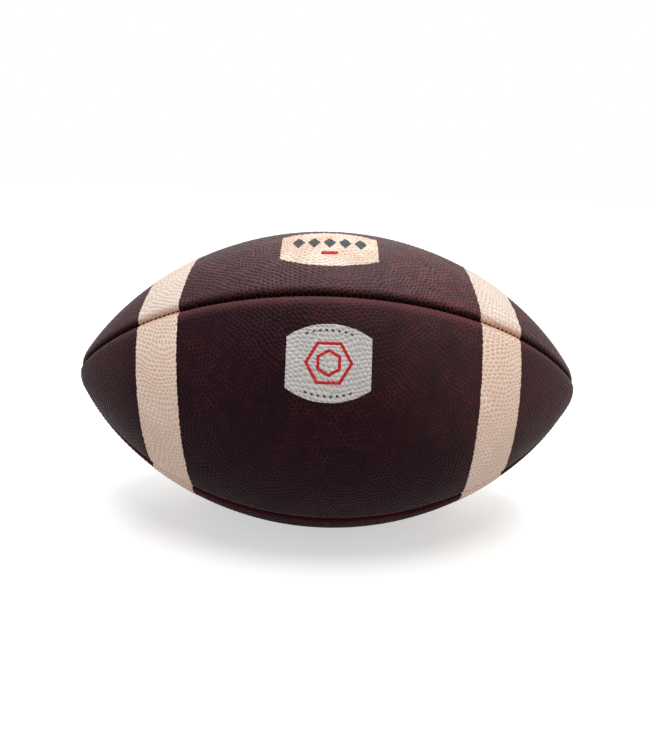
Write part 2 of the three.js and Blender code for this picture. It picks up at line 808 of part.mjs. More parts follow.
panels.forEach((panel) => addPiece(`lining_${panel.name}`, clothLining(panel), "cloth"));
addPiece("bladder", rubberBladder(), "rubber");

const valve = new THREE.Group();
valve.name = "valve_axis";
valve.applyMatrix4(valveSeat);
football.add(valve);
addPiece("valve_housing", valveHousing(), "rubber");
addPiece("valve_core", valveCore(), "rubber", valve);
addPiece("valve_patch", valvePatch(back), "cloth");

const tracker = new THREE.Group();
tracker.name = "tracker_axis";
tracker.applyMatrix4(trackerSeat);
football.add(tracker);
addPiece("tracker_pocket", trackerPocket(), "rubber");
addPiece("tracker_case", trackerCase(), "plastic", tracker);
const cell = geometryOf(solidOf(bar(cellRadius, cellTop - cellThickness, cellTop, roundSides)));
addPiece("tracker_cell", cell, "cell", tracker);
addPiece("tracker_board", trackerBoard(), "board", tracker);
const cover = geometryOf(solidOf(bar(caseRadius, coverTop - coverThickness, coverTop, roundSides)));
addPiece("tracker_cover", cover, "plastic", tracker);

export default football;
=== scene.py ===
import math

import bpy
import numpy as np
from mathutils import Matrix, Vector


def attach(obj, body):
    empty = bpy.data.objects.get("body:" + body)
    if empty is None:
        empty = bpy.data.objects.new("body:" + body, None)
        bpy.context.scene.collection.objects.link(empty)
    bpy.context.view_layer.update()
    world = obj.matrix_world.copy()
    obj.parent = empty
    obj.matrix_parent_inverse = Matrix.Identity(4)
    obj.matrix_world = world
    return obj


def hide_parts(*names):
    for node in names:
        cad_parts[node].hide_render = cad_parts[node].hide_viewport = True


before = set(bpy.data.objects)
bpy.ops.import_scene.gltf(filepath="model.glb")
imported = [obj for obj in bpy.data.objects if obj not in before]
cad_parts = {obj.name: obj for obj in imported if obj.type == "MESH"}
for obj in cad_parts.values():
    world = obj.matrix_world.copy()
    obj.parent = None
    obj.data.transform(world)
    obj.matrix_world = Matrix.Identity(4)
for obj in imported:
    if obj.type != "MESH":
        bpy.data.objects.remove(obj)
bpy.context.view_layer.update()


# Leather panels
# Four pointed pieces of pebbled leather, cut to one pattern and sewn edge to edge inside out.
# Turned the right way and blown up, each edge rolls into the seam and its flange stands inward.
# Lengths are in millimetres until a mesh is made.
ball_length = 285.0
girth_radius = 84.5
tip_radius = 24.0
tip_opening = 1.0
leather_thickness = 2.2
shoulder_width = 5.4
shoulder_drop = 3.1
flange_depth = 7.2
flange_thickness = 2.2
flange_splay = 0.95
seam_gap = 0.3
taper_radius = 20.0
roll_taper = 11.0
rest_flat = 0.35
lace_flange_depth = 3.2
slit_half = 56.0
slit_ease = 3.0
grid_step = 0.62
millimetres = 1000.0
pebble_pitch = 2.45
pebble_row = pebble_pitch * math.sqrt(3)
pebble_stray = 0.3
pebble_rise = 0.33
pebble_sink = 0.22
pebble_flat = 0.3
pebble_slope = 0.68

tip_centre = ball_length / 2 - tip_radius
girth_over_tip = girth_radius - tip_radius
belly_drop = (tip_centre ** 2 - girth_over_tip ** 2) / (2 * girth_over_tip)
belly_radius = girth_radius + belly_drop
tip_angle = math.atan2(belly_drop, tip_centre)
belly_run = belly_radius * (math.pi / 2 - tip_angle)
end_angle = math.asin(tip_opening / tip_radius)
half_run = belly_run + tip_radius * (tip_angle - end_angle)
seam_face = seam_gap / 2
quarter = math.pi / 4

# Row angle of each panel's middle, the edge that is laced, and the piece of hide it is cut from.
panels = {
    "front": (0.0, 0, 11),
    "top": (math.pi / 2, 1, 23),
    "back": (math.pi, -1, 37),
    "bottom": (3 * math.pi / 2, 0, 41),
}
lace_seam = 3 * math.pi / 4


def lean(run):
    """Direction of the outward normal at a run along the leather from the girth line."""
    reach = np.abs(run)
    on_belly = np.pi / 2 - reach / belly_radius
    on_tip = tip_angle - (reach - belly_run) / tip_radius
    folded = np.where(reach > belly_run, on_tip, on_belly)
    return np.where(np.asarray(run) < 0, np.pi - folded, folded)


def run_at(angle):
    """Run along the leather from the girth line for a direction of the outward normal."""
    folded = np.minimum(angle, np.pi - angle)
    on_belly = belly_radius * (np.pi / 2 - folded)
    on_tip = belly_run + tip_radius * (tip_angle - folded)
    return np.where(angle > np.pi / 2, -1, 1) * np.where(folded < tip_angle, on_tip, on_belly)


def meridian(angle, depth):
    """Place along the ball and radius about its axis, at a depth under the skin."""
    folded = np.minimum(angle, np.pi - angle)
    side = np.where(angle > np.pi / 2, -1, 1)
    on_tip = folded < tip_angle
    tip, belly = tip_radius - depth, belly_radius - depth
    x = np.where(on_tip, tip_centre + tip * np.cos(folded), belly * np.cos(folded))
    r = np.where(on_tip, tip * np.sin(folded), belly * np.sin(folded) - belly_drop)
    return side * x, r


def place(angle, around, depth):
    """Point at a direction of the normal, an angle round the ball and a depth under the skin."""
    x, r = meridian(angle, depth)
    return np.stack(np.broadcast_arrays(x, -r * np.cos(around), r * np.sin(around)), -1)


def laid_flat(points, middle):
    """Run and distance across the panel of points on or near the skin."""
    x, y, z = points.T
    r = np.hypot(y, z)
    around = np.angle(np.exp(1j * (np.arctan2(z, -y) - middle)))
    on_belly = np.arctan2(r + belly_drop, np.abs(x))
    on_tip = np.arctan2(r, np.abs(x) - tip_centre)
    folded = np.where(on_belly < tip_angle, on_tip, on_belly)
    angle = np.where(x < 0, np.pi - folded, folded)
    return run_at(angle), meridian(angle, 0)[1] * around


# Length of each wave of the stretched hide, and how far it pulls the pebbles out of place.
hide_waves = ((90, 2.0), (30, 0.8), (12, 0.34))


def stretched(run, across, hide):
    """Where a spot lay in the even pebbles of the embossing plate before the hide was stretched."""
    draw = np.random.RandomState(hide)
    turn = draw.uniform(0.2, 0.5)
    u = run * math.cos(turn) + across * math.sin(turn)
    v = across * math.cos(turn) - run * math.sin(turn)
    for length, swing in hide_waves:
        for _ in range(3):
            way, start, pull = draw.uniform(0, 2 * math.pi, 3)
            wave = swing * np.sin(2 * np.pi * (run * math.cos(way) + across * math.sin(way)) / length + start)
            u = u + wave * math.cos(pull)
            v = v + wave * math.sin(pull)
    return u, v


# Each pebble of the plate strays from an even net by a hash of its place in the net.
stray_ways = ((1.37, 2.71, 0.0), (2.19, 1.13, 0.0))
stray_spread = 437.5


def pebble_reach(u, v):
    """How far a spot lies from the middle of its pebble, 0, towards the valley round it, 1."""
    distances = []
    for shift in (0.0, 0.5):
        x, y = u / pebble_pitch + shift, v / pebble_row + shift
        row = np.floor(y + 0.5)
        first = np.floor(x + 0.5)
        for column in (first, first + np.sign(x - first)):
            swings = [np.sin(a * column + b * row + shift) * stray_spread for a, b, _ in stray_ways]
            strays = [pebble_stray * pebble_pitch * (swing - np.floor(swing) - 0.5) for swing in swings]
            off_along = (x - column) * pebble_pitch - strays[0]
            off_across = (y - row) * pebble_row - strays[1]
            distances.append(np.hypot(off_along, off_across))
    nearest, second = np.sort(distances, 0)[:2]
    return 1 - (second - nearest) / pebble_pitch


def pebbles(run, across, hide):
    """Height of the grain over the mean skin."""
    fall = np.clip((pebble_reach(*stretched(run, across, hide)) - pebble_flat) / pebble_slope, 0, 1)
    return pebble_rise * (1 - fall * fall * (3 - 2 * fall)) - pebble_sink


def seam_offset(angle, depth, distance):
    """Angle from a panel's middle to a line at a distance from its seam."""
    return quarter - np.arcsin(np.clip(distance / meridian(angle, depth)[1], -1, 1))


def roll_size(r):
    """How full the rolled shoulder is at a radius: it dwindles at the very tip."""
    return np.minimum(1, r / roll_taper)


def skin(angle, share, turn, hide, coat):
    """Offset round the ball and depth of the grained skin.

    Share -1 to 1 goes across the panel, and turn 0 to a right angle over the shoulder beside it.
    """
    r = meridian(angle, 0)[1]
    roll = roll_size(r)
    width, drop = shoulder_width * roll, shoulder_drop * roll
    half = seam_offset(angle, 0, seam_face + width)

    def over(lift):
        distance = seam_face + width - (width + lift) * np.sin(turn)
        sunk = drop - (drop + lift) * np.cos(turn)
        rolled = np.sign(share) * seam_offset(angle, sunk, distance)
        return np.where(turn > 0, rolled, share * half), sunk

    around, _ = over(0)
    grain = pebbles(run_at(angle), r * around, hide)
    return over(grain * np.cos(turn) * np.minimum(1, r / taper_radius) + coat)


def zipped(left, right, left_first, right_first):
    """Triangles between two rows of unlike counts, both spread evenly over one span."""
    a = (np.arange(left) + 0.5) / left
    b = (np.arange(right) + 0.5) / right
    over_a = np.searchsorted(b, a, side="left")
    over_b = np.searchsorted(a, b, side="right")
    k, j = np.arange(left), np.arange(right)
    near = np.stack([left_first + k, right_first + over_a, left_first + k + 1], 1)
    far = np.stack([left_first + over_b, right_first + j, right_first + j + 1], 1)
    return np.concatenate([near, far])


def edge_rows(angle, laced):
    """Flange of one edge below the shoulder, then the corner where it meets the inside."""
    x, r = meridian(angle, 0)
    size = np.minimum(1, r / taper_radius)
    open_slit = np.clip((slit_half + slit_ease - np.abs(x)) / slit_ease, 0, 1) if laced else 0 * x
    full = flange_depth + (lace_flange_depth - flange_depth) * open_slit
    end = leather_thickness + size * (full - leather_thickness)
    drop = shoulder_drop * roll_size(r)
    splay = flange_splay * size * (end - drop) / (flange_depth - shoulder_drop)
    inner = seam_face + flange_thickness * size
    outline = [
        (seam_face + splay / 2, (drop + end) / 2),
        (seam_face + splay, end),
        (inner + splay, end),
        (inner, leather_thickness + 0 * size),
    ]
    return [(seam_offset(angle, depth, distance), depth) for distance, depth in outline]


def fan(hub, ring):
    """Triangles from one vertex to a ring of others."""
    return np.stack([np.full(len(ring), hub), ring, np.roll(ring, -1)], 1)


def panel_body(middle, laced_side, hide):
    """Vertices and triangles of one closed panel, row by row from tip to tip."""
    runs = np.linspace(-half_run, half_run, int(2 * half_run / grid_step) + 1)
    angles = lean(runs)
    shoulder_turns = np.radians(np.linspace(10, 90, 9))
    rolls = len(shoulder_turns)
    radii = meridian(angles, 0)[1]
    widths = 2 * seam_offset(angles, 0, seam_face + shoulder_width * roll_size(radii)) * radii
    counts = np.maximum(3, np.nan_to_num(widths / grid_step).astype(int))
    right = edge_rows(angles, laced_side > 0)
    left = edge_rows(angles, laced_side < 0)
    inside = np.linspace(1, -1, 9)[1:-1]
    vertices, firsts = [], []
    total = 0
    for i, angle in enumerate(angles):
        share = np.linspace(-1, 1, counts[i] + 1)
        share = np.concatenate([share, np.ones(rolls), -np.ones(rolls)])
        turn = np.concatenate([np.zeros(counts[i] + 1), shoulder_turns, shoulder_turns[::-1]])
        around, depth = skin(np.full(share.shape, angle), share, turn, hide, 0)
        around_right = np.array([a[i] for a, _ in right])
        depth_right = np.array([d[i] for _, d in right])
        around_left = -np.array([a[i] for a, _ in left])[::-1]
        depth_left = np.array([d[i] for _, d in left])[::-1]
        skin_end = counts[i] + 1 + rolls
        behind_around = np.concatenate([around_right, inside * around_right[-1], around_left])
        behind_depth = np.concatenate([depth_right, np.full(len(inside), leather_thickness), depth_left])
        row_around = np.concatenate([around[:skin_end], behind_around, around[skin_end:]])
        row_depth = np.concatenate([depth[:skin_end], behind_depth, depth[skin_end:]])
        vertices.append(place(np.full(row_around.shape, angle), middle + row_around, row_depth))
        firsts.append(total)
        total += len(row_around)
    triangles = []
    ring = rolls + len(right) + len(inside) + len(left) + rolls
    steps = np.arange(ring + 2)
    for i in range(len(angles) - 1):
        triangles.append(zipped(counts[i], counts[i + 1], firsts[i], firsts[i + 1]))
        here = firsts[i] + (counts[i] + steps) % (counts[i] + ring + 1)
        there = firsts[i + 1] + (counts[i + 1] + steps) % (counts[i + 1] + ring + 1)
        triangles.append(np.stack([here[:-1], there[:-1], there[1:]], 1))
        triangles.append(np.stack([here[:-1], there[1:], here[1:]], 1))
    for i, flip in ((0, 1), (len(angles) - 1, -1)):
        outline = firsts[i] + np.arange(counts[i] + ring + 1)
        triangles.append(fan(total, outline)[:, ::flip])
        vertices.append(vertices[i].mean(0)[None])
        total += 1
    return np.concatenate(vertices), np.concatenate(triangles)


def new_mesh(name, vertices, faces):
    """Mesh in metres from millimetre vertices and faces of one size."""
    mesh = bpy.data.meshes.new(name)
    count, corners = faces.shape
    mesh.vertices.add(len(vertices))
    mesh.vertices.foreach_set("co", (vertices / millimetres).astype(np.float32).ravel())
    mesh.loops.add(count * corners)
    mesh.loops.foreach_set("vertex_index", faces.astype(np.int32).ravel())
    mesh.polygons.add(count)
    mesh.polygons.foreach_set("loop_start", np.arange(0, count * corners, corners, dtype=np.int32))
    mesh.update(calc_edges=True)
    mesh.validate()
    mesh.shade_smooth()
    return mesh


def new_object(name, data):
    item = bpy.data.objects.new(name, data)
    bpy.context.scene.collection.objects.link(item)
    return item


def new_piece(mesh, finish, node):
    """A piece of the ball that stands for a CAD node and wears a finish."""
    piece = new_object(mesh.name, mesh)
    mesh.materials.clear()
    mesh.materials.append(finish.material)
    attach(piece, "root")
    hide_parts(node)


def flat_places(mesh, middle):
    """Run and distance across the panel of every vertex of a mesh."""
    points = np.empty(len(mesh.vertices) * 3, np.float32)
    mesh.vertices.foreach_get("co", points)
    return laid_flat(points.reshape(-1, 3) * millimetres, middle)


def store(mesh, name, columns):
    """Keeps three numbers for each vertex under a name that a finish reads."""
    kept = mesh.attributes.new(name, "FLOAT_VECTOR", "POINT")
    kept.data.foreach_set("vector", np.stack(columns, 1).astype(np.float32).ravel())


def keep_grain(mesh, middle, hide):
    """Stores where each vertex lay on the embossing plate, and how far it is from a seam."""
    run, across = flat_places(mesh, middle)
    r = meridian(lean(run), 0)[1]
    store(mesh, "grain", [*stretched(run, across, hide), (quarter * r - np.abs(across)) / roll_size(r)])


def ways(angle, around):
    """Directions along the ball, round it and outward at spots on the skin."""
    sin, cos = np.sin(angle), np.cos(angle)
    sin_around, cos_around = np.sin(around), np.cos(around)
    parts = (
        (sin, cos * cos_around, -cos * sin_around),
        (0 * sin, sin_around, cos_around),
        (cos, -sin * cos_around, sin * sin_around),
    )
    return [np.stack(np.broadcast_arrays(*part), -1) for part in parts]


def seat(angle, around):
    """Columns along, across and outward at a spot on the skin, and the spot."""
    return np.stack(ways(angle, around), 1), place(angle, around, 0)


# A punch starts over the leather and ends well inside the ball.
punch_out = 6.0
punch_in = 12.0


def punch_body(angle, around, length, width, sides):
    """Oval punch that goes square through the leather."""
    basis, spot = seat(angle, around)
    turn = np.linspace(0, 2 * np.pi, sides, endpoint=False)
    oval = np.stack([length / 2 * np.cos(turn), width / 2 * np.sin(turn), 0 * turn], 1)
    low, high = oval - [0, 0, punch_in], oval + [0, 0, punch_out]
    points = np.concatenate([low, high, [[0, 0, -punch_in], [0, 0, punch_out]]]) @ basis.T + spot
    k = np.arange(sides)
    n = (k + 1) % sides
    walls = [np.stack([k, n, n + sides], 1), np.stack([k, n + sides, k + sides], 1)]
    caps = [fan(2 * sides, k)[:, ::-1], fan(2 * sides + 1, k + sides)]
    return points, np.concatenate(walls + caps)


def punched(mesh, punches):
    """The mesh with every punch taken out of it, under the same name."""
    name = mesh.name
    sheet = new_object("sheet", mesh)
    offset, points, faces = 0, [], []
    for body_points, body_faces in punches:
        points.append(body_points)
        faces.append(body_faces + offset)
        offset += len(body_points)
    tool = new_object("punch", new_mesh("punch", np.concatenate(points), np.concatenate(faces)))
    cut = sheet.modifiers.new("cut", "BOOLEAN")
    cut.operation = "DIFFERENCE"
    cut.solver = "MANIFOLD"
    cut.object = tool
    bpy.context.view_layer.update()
    done = bpy.data.meshes.new_from_object(sheet.evaluated_get(bpy.context.evaluated_depsgraph_get()))
    for item in (sheet, tool):
        spent = item.data
        bpy.data.objects.remove(item)
        bpy.data.meshes.remove(spent)
    done.name = name
    return done


# Holes for the lace and for the valve.
lace_rows = 8
lace_pitch = 12.5
lace_half = (lace_rows - 1) * lace_pitch / 2
lace_end_reach = 10.25
lace_end = lace_half + lace_end_reach
lace_hole_from_seam = 9.5
side_hole = (5.8, 3.8)
end_hole = (4.8, 5.8)
hole_sides = 28
row_runs = np.arange(lace_rows) * lace_pitch - lace_half
valve_from_seam = 34.0
valve_around = lace_seam + valve_from_seam / girth_radius
valve_hole = 8.0
valve_hole_sides = 40


def lace_spot(run, across):
    """Direction and angle round the ball at a run along the lace seam and a distance across it."""
    angle = math.pi / 2 - run / belly_radius
    return angle, lace_seam + across / meridian(angle, 0)[1]


def lace_punches(side):
    """Punches for the side holes of one panel and for the two end holes in the seam."""
    across = side * lace_hole_from_seam
    sides = [punch_body(*lace_spot(run, across), *side_hole, hole_sides) for run in row_runs]
    ends = [punch_body(*lace_spot(run, 0), *end_hole, hole_sides) for run in (-lace_end, lace_end)]
    return sides + ends


def valve_punch():
    """Punch for the round hole that the valve comes through."""
    return punch_body(math.pi / 2, valve_around, valve_hole, valve_hole, valve_hole_sides)


class Value:
    """What a node puts out, so that sums of it can be written in plain signs."""

    def __init__(self, socket):
        self.socket = socket
        self.tree = socket.id_data

    def maths(self, operation, *other):
        vector = self.socket.type == "VECTOR"
        kind = "ShaderNodeVectorMath" if vector else "ShaderNodeMath"
        output = "Vector" if vector and operation not in ("LENGTH", "DOT_PRODUCT") else "Value"
        return take(self.tree, kind, output, dict(enumerate((self, *other))), operation=operation)

    def __add__(self, other):
        return self.maths("ADD", other)

    def __sub__(self, other):
        return self.maths("SUBTRACT", other)

    def __mul__(self, other):
        return self.maths("MULTIPLY", other)

    def __abs__(self):
        return self.maths("ABSOLUTE")

    def least(self, other):
        return self.maths("MINIMUM", other)

    def most(self, other):
        return self.maths("MAXIMUM", other)

    def parts(self):
        return [take(self.tree, "ShaderNodeSeparateXYZ", part, {0: self}) for part in range(3)]

    def fade(self, low, high, to_low=0.0, to_high=1.0):
        """Smooth step from one level to another."""
        levels = {0: self, 1: low, 2: high, 3: to_low, 4: to_high}
        return take(self.tree, "ShaderNodeMapRange", 0, levels, interpolation_type="SMOOTHSTEP")

    def blend(self, first, second):
        """The first colour where this is 0 and the second where it is 1."""
        return take(self.tree, "ShaderNodeMix", 2, {0: self, 6: first, 7: second}, data_type="RGBA")


def take(tree, kind, output, values=(), **settings):
    """What a new node puts out, with its settings, and its inputs set to constants or linked."""
    node = tree.nodes.new(kind)
    for key, value in settings.items():
        setattr(node, key, value)
    for key, value in dict(values).items():
        if isinstance(value, Value):
            tree.links.new(value.socket, node.inputs[key])
        else:
            node.inputs[key].default_value = value
    return Value(node.outputs[output])


class Finish:
    """Node material of one kind of surface."""

    def __init__(self, name):
        self.material = bpy.data.materials.new(name)
        self.material.use_nodes = True
        self.tree = self.material.node_tree
        self.shader = self.tree.nodes["Principled BSDF"]

    def place(self):
        """Spot in the ball's own space, in metres."""
        return take(self.tree, "ShaderNodeTexCoord", "Object")

    def stored(self, name):
        """Three numbers that the mesh keeps for each vertex."""
        return take(self.tree, "ShaderNodeAttribute", "Vector", attribute_name=name)

    def spots(self, scale, detail=2.0, rough=0.5):
        """Soft noise of so many spots a metre."""
        values = {"Vector": self.place(), "Scale": scale, "Detail": detail, "Roughness": rough}
        return take(self.tree, "ShaderNodeTexNoise", 0, values)

    def link(self, name, value):
        self.tree.links.new(value.socket, self.shader.inputs[name])

    def dress(self, colour, rough, relief, gloss=0.5):
        """Sets colour, roughness and gloss, and relief that is finer than the mesh."""
        self.link("Base Color", colour)
        self.link("Roughness", rough)
        values = dict(zip(("Strength", "Distance", "Height"), relief))
        self.link("Normal", take(self.tree, "ShaderNodeBump", 0, values))
        self.shader.inputs["Specular IOR Level"].default_value = gloss


def pebble_values(finish):
    """How far a spot lies from its pebble's middle and from the seam, read from the grain."""
    grain = finish.stored("grain")
    net = grain * (1 / pebble_pitch, 1 / pebble_row, 0.0)
    half = (0.5, 0.5, 0.0)
    distances = []
    for shift in (0.0, 0.5):
        spot = net + (shift, shift, 0.0)
        first = (spot + half).maths("FLOOR")
        beside = first + (spot - first).maths("SIGN") * (1.0, 0.0, 0.0)
        for cell in (first, beside):
            turns = [cell.maths("DOT_PRODUCT", way) + shift for way in stray_ways]
            swing = take(finish.tree, "ShaderNodeCombineXYZ", 0, dict(enumerate(turns))).maths("SINE")
            swing = (swing * (stray_spread, stray_spread, 0.0)).maths("FRACTION") - half
            stray = swing * (pebble_stray * pebble_pitch, pebble_stray * pebble_pitch, 0.0)
            distances.append(((spot - cell) * (pebble_pitch, pebble_row, 0.0) - stray).maths("LENGTH"))
    a, b, c, d = distances
    nearest = a.least(b).least(c.least(d))
    second = a.least(b).most(c.least(d)).least(a.most(b).least(c.most(d)))
    return (second - nearest) * (-1 / pebble_pitch) + 1.0, grain.parts()[2]


def leather_finish(side, dye, stain, valley_from, rim, rim_highlight, crease_shade_reach, gloss, crease_shade_colour, painted_light_span):
    """Dyed leather: dark, half glossy pebbles over a wine red net of valleys.

    Stain darkens the valleys in patches. Rim widens the red valleys by a seam, partly grain stretched over
    the roll and partly a painted highlight, and rim highlight is the strength of a painted highlight on the
    upper shoulders. Crease shade reach is how far from the seam the painted crease shade goes, and the
    painted light span is where a painted pool of light pales the colour.
    """
    dark_pebble, pale_pebble, lit_pebble, dark_valley, red_valley, lit_valley = dye
    finish = Finish("pebbled_leather_" + side)
    reach, edge = pebble_values(finish)
    fine = finish.spots(900.0)
    speckle = fine - 0.5
    closing = finish.spots(230.0) - 0.5
    # Rim widens the red valleys along a seam: partly the grain stretched over the roll, partly a painted
    # highlight.
    spread = reach + edge.fade(2.0, rim_light_reach, rim, 0.0) + speckle * 0.35 + closing * 0.7
    where = finish.place()
    along, _, height = where.parts()
    # Painted pool of light: the colour pales upward to the right.
    light_pool = where.maths("DOT_PRODUCT", (1.0, 0.0, 1.0)).fade(*painted_light_span)
    stained = finish.spots(48.0, 4.0, 0.6).fade(0.34, 0.66, stain, 0.0)
    # Painted highlight on the shoulders along the seams, on the upper half only.
    rim_wear_and_shading = edge.fade(1.0, rim_light_reach, rim_highlight, 0.0) * height.fade(0.0, 0.03)
    pebble = light_pool.blend(finish.spots(30.0, 3.0).blend(dark_pebble, pale_pebble), lit_pebble)
    valley = stained.blend(light_pool.blend(red_valley, lit_valley), dark_valley)
    colour = spread.fade(valley_from, 1.0).blend(
        rim_wear_and_shading.blend(pebble, highlit_rim_pebble), rim_wear_and_shading.blend(valley, highlit_rim_valley))
    # Painted sheen paling each nose.
    colour = abs(along).fade(*nose_sheen_span, 0.0, 0.5).blend(colour, nose_sheen)
    # Painted shade darkening the crease along each seam; on the bottom panel it is a red glow of painted
    # bounced light.
    colour = edge.fade(crease_shade_from, crease_shade_reach, 0.88, 0.0).blend(colour, crease_shade_colour)
    rough = reach.fade(0.5, 1.0, 0.32, 0.65) + speckle * 0.25
    dome = reach.fade(0.3, 1.0, 1.0, 0.0)
    finish.dress(colour, rough, (0.5, 0.00022, dome + fine * 0.22), gloss)
    finish.link("Specular IOR Level", edge.fade(crease_shade_from, crease_shade_reach, 0.0, gloss))
    return finish


# One leather in lit and shaded copies: the top panel's colours are painted lighter and redder for the light
# from above, the front panel's darker for its shade, and the front is also the dullest. Each set has its
# dark, pale and lit pebbles, then its stained, red and lit valleys, the lit ones a painted pool of light.
front_shaded_dye = (
    (0.0078, 0.0023, 0.0042, 1), (0.0126, 0.0045, 0.0070, 1), (0.031, 0.0178, 0.0200, 1),
    (0.014, 0.0036, 0.0066, 1), (0.046, 0.0098, 0.0142, 1), (0.098, 0.0240, 0.0280, 1),
)
top_lit_dye = (
    (0.018, 0.0105, 0.0115, 1), (0.030, 0.0175, 0.019, 1), (0.034, 0.0196, 0.0214, 1),
    (0.060, 0.0190, 0.0235, 1), (0.142, 0.0385, 0.0450, 1), (0.200, 0.054, 0.063, 1),
)
plain_dye = (
    (0.009, 0.0050, 0.0062, 1), (0.015, 0.0082, 0.010, 1), (0.017, 0.0092, 0.0113, 1),
    (0.020, 0.0062, 0.0088, 1), (0.078, 0.0148, 0.0212, 1), (0.092, 0.0182, 0.0262, 1),
)
# Painted sheen colour of the noses.
nose_sheen = (0.049, 0.0215, 0.0245, 1)
# Painted highlight colours of the rims along the seams.
highlit_rim_pebble = (0.080, 0.040, 0.042, 1)
highlit_rim_valley = (0.175, 0.040, 0.042, 1)
# Painted crease shades: dark, and red for the bottom's crease lit by bounced light.
dark_crease_shade = (0.004, 0.0006, 0.001, 1)
bounce_lit_crease_shade = (0.024, 0.0050, 0.0075, 1)

# A painted pool of light pales the colour upward to the right between two levels, and a painted sheen pales
# each nose between two distances from the girth, in metres. The reach of the painted rim highlight and the
# start of the painted crease shade are in millimetres from the seam.
plain_light_pool_span = (0.03, 0.1)
front_light_pool_span = (0.01, 0.12)
nose_sheen_span = (0.085, 0.12)
rim_light_reach = 9.0
crease_shade_from = 0.4
leathers = {
    "front": leather_finish("front", front_shaded_dye, stain=0.8, valley_from=0.66, rim=0.1, rim_highlight=0.75, crease_shade_reach=1.8,
                            gloss=0.042, crease_shade_colour=dark_crease_shade, painted_light_span=front_light_pool_span),
    "top": leather_finish("top", top_lit_dye, stain=0.6, valley_from=0.64, rim=0.06, rim_highlight=0.0, crease_shade_reach=5.2,
                          gloss=0.13, crease_shade_colour=dark_crease_shade, painted_light_span=plain_light_pool_span),
    "back": leather_finish("back", plain_dye, stain=0.7, valley_from=0.64, rim=0.12, rim_highlight=0.5, crease_shade_reach=4.5,
                           gloss=0.09, crease_shade_colour=dark_crease_shade, painted_light_span=plain_light_pool_span),
    "bottom": leather_finish("bottom", plain_dye, stain=0.7, valley_from=0.64, rim=0.3, rim_highlight=0.0, crease_shade_reach=5.0,
                             gloss=0.01, crease_shade_colour=bounce_lit_crease_shade, painted_light_span=plain_light_pool_span),
}
for side, (middle, laced_side, hide) in panels.items():
    body_vertices, body_faces = panel_body(middle, laced_side, hide)
    if side == "bottom":
        body_vertices[:, 2] = np.maximum(body_vertices[:, 2], rest_flat - girth_radius)
    mesh = new_mesh("leather_" + side, body_vertices, body_faces)
    if laced_side:
        punches = lace_punches(-laced_side)
        if side == "back":
            punches.append(valve_punch())
        mesh = punched(mesh, punches)
    keep_grain(mesh, middle, hide)
    new_piece(mesh, leathers[side], "panel_" + side)


# Painted stripes
# A pale stripe about an inch wide runs right round the ball near each end, sprayed over masked
# leather before sewing, so its edges meet only roughly at the seams. The coat follows the pebbles.
paint_thickness = 0.17
paint_sunk = 0.04

# A masked edge gives way a little at each pebble, and is rough besides.
mask_give = 0.1
mask_level = 0.62
mask_rough = 0.34

# Start along the leather from the girth line, width, slant and bow by degrees round the panel.
plain_stripe = (76.0, 26.5, 0.0, 0.0004)
stripe_masks = {
    ("front", "left"): (75.8, 26.8, 0.083, 0.0001),
    ("front", "right"): (75.9, 26.6, 0.02, 0.0005),
    ("bottom", "left"): (74.6, 26.5, -0.04, 0.0004),
    ("top", "left"): (77.2, 27.2, 0.0, 0.0017),
    ("top", "right"): (74.3, 28.4, 0.0, 0.0019),
}


def grid_cells(rows, columns):
    """Row and column of every cell of a grid."""
    return [grid.ravel() for grid in np.meshgrid(np.arange(rows), np.arange(columns), indexing="ij")]


def sheet_body(front, back):
    """Closed body of two like grids of points, the second behind the first, joined round their rim."""
    rows, columns = front.shape[:2]

    def at(i, j, shell):
        return shell * rows * columns + i * columns + j

    i, j = grid_cells(rows - 1, columns - 1)
    quads = [np.stack([at(i, j, 0), at(i + 1, j, 0), at(i + 1, j + 1, 0), at(i, j + 1, 0)], 1)]
    quads.append(np.stack([at(i, j, 1), at(i, j + 1, 1), at(i + 1, j + 1, 1), at(i + 1, j, 1)], 1))
    walk = [(0, k) for k in range(columns - 1)] + [(k, columns - 1) for k in range(rows - 1)]
    walk += [(rows - 1, k) for k in range(columns - 1, 0, -1)] + [(k, 0) for k in range(rows - 1, 0, -1)]
    walk = np.array(walk)
    after = np.roll(walk, -1, 0)
    quads.append(np.stack([at(*walk.T, 0), at(*after.T, 0), at(*after.T, 1), at(*walk.T, 1)], 1))
    return np.concatenate([front, back]).reshape(-1, 3), np.concatenate(quads)


def coat_body(middle, hide, end, start, width, slant, bow):
    """Closed coat between two masked lines across one panel."""
    rows, columns = 54, 210
    over = np.radians(np.linspace(8, 86, 12))
    share = np.concatenate([-np.ones(len(over)), np.linspace(-1, 1, columns), np.ones(len(over))])
    turn = np.concatenate([over[::-1], np.zeros(columns), over])
    draw = np.random.RandomState(hide + (1 if end == "left" else 2))

    def masked(run):
        angle = lean(np.full(share.shape, run))
        around, _ = skin(angle, share, turn, hide, 0)
        degrees = np.degrees(around)
        reach = pebble_reach(*stretched(np.full(share.shape, run), meridian(angle, 0)[1] * around, hide))
        rough = np.convolve(draw.uniform(-1, 1, len(share) + 6), np.ones(7) / 7, "valid")
        line = run + slant * degrees + bow * degrees ** 2
        return line + mask_give * (reach - mask_level) + mask_rough * rough

    near, far = masked(start), masked(start + width)
    low, high = (-far, -near) if end == "left" else (near, far)
    step = np.linspace(0, 1, rows)[:, None]
    angle = lean(low + (high - low) * step)
    shells = []
    for coat in (paint_thickness, -paint_sunk):
        around, depth = skin(angle, share, turn, hide, coat)
        shells.append(place(angle, middle + around, depth))
    return sheet_body(*shells)


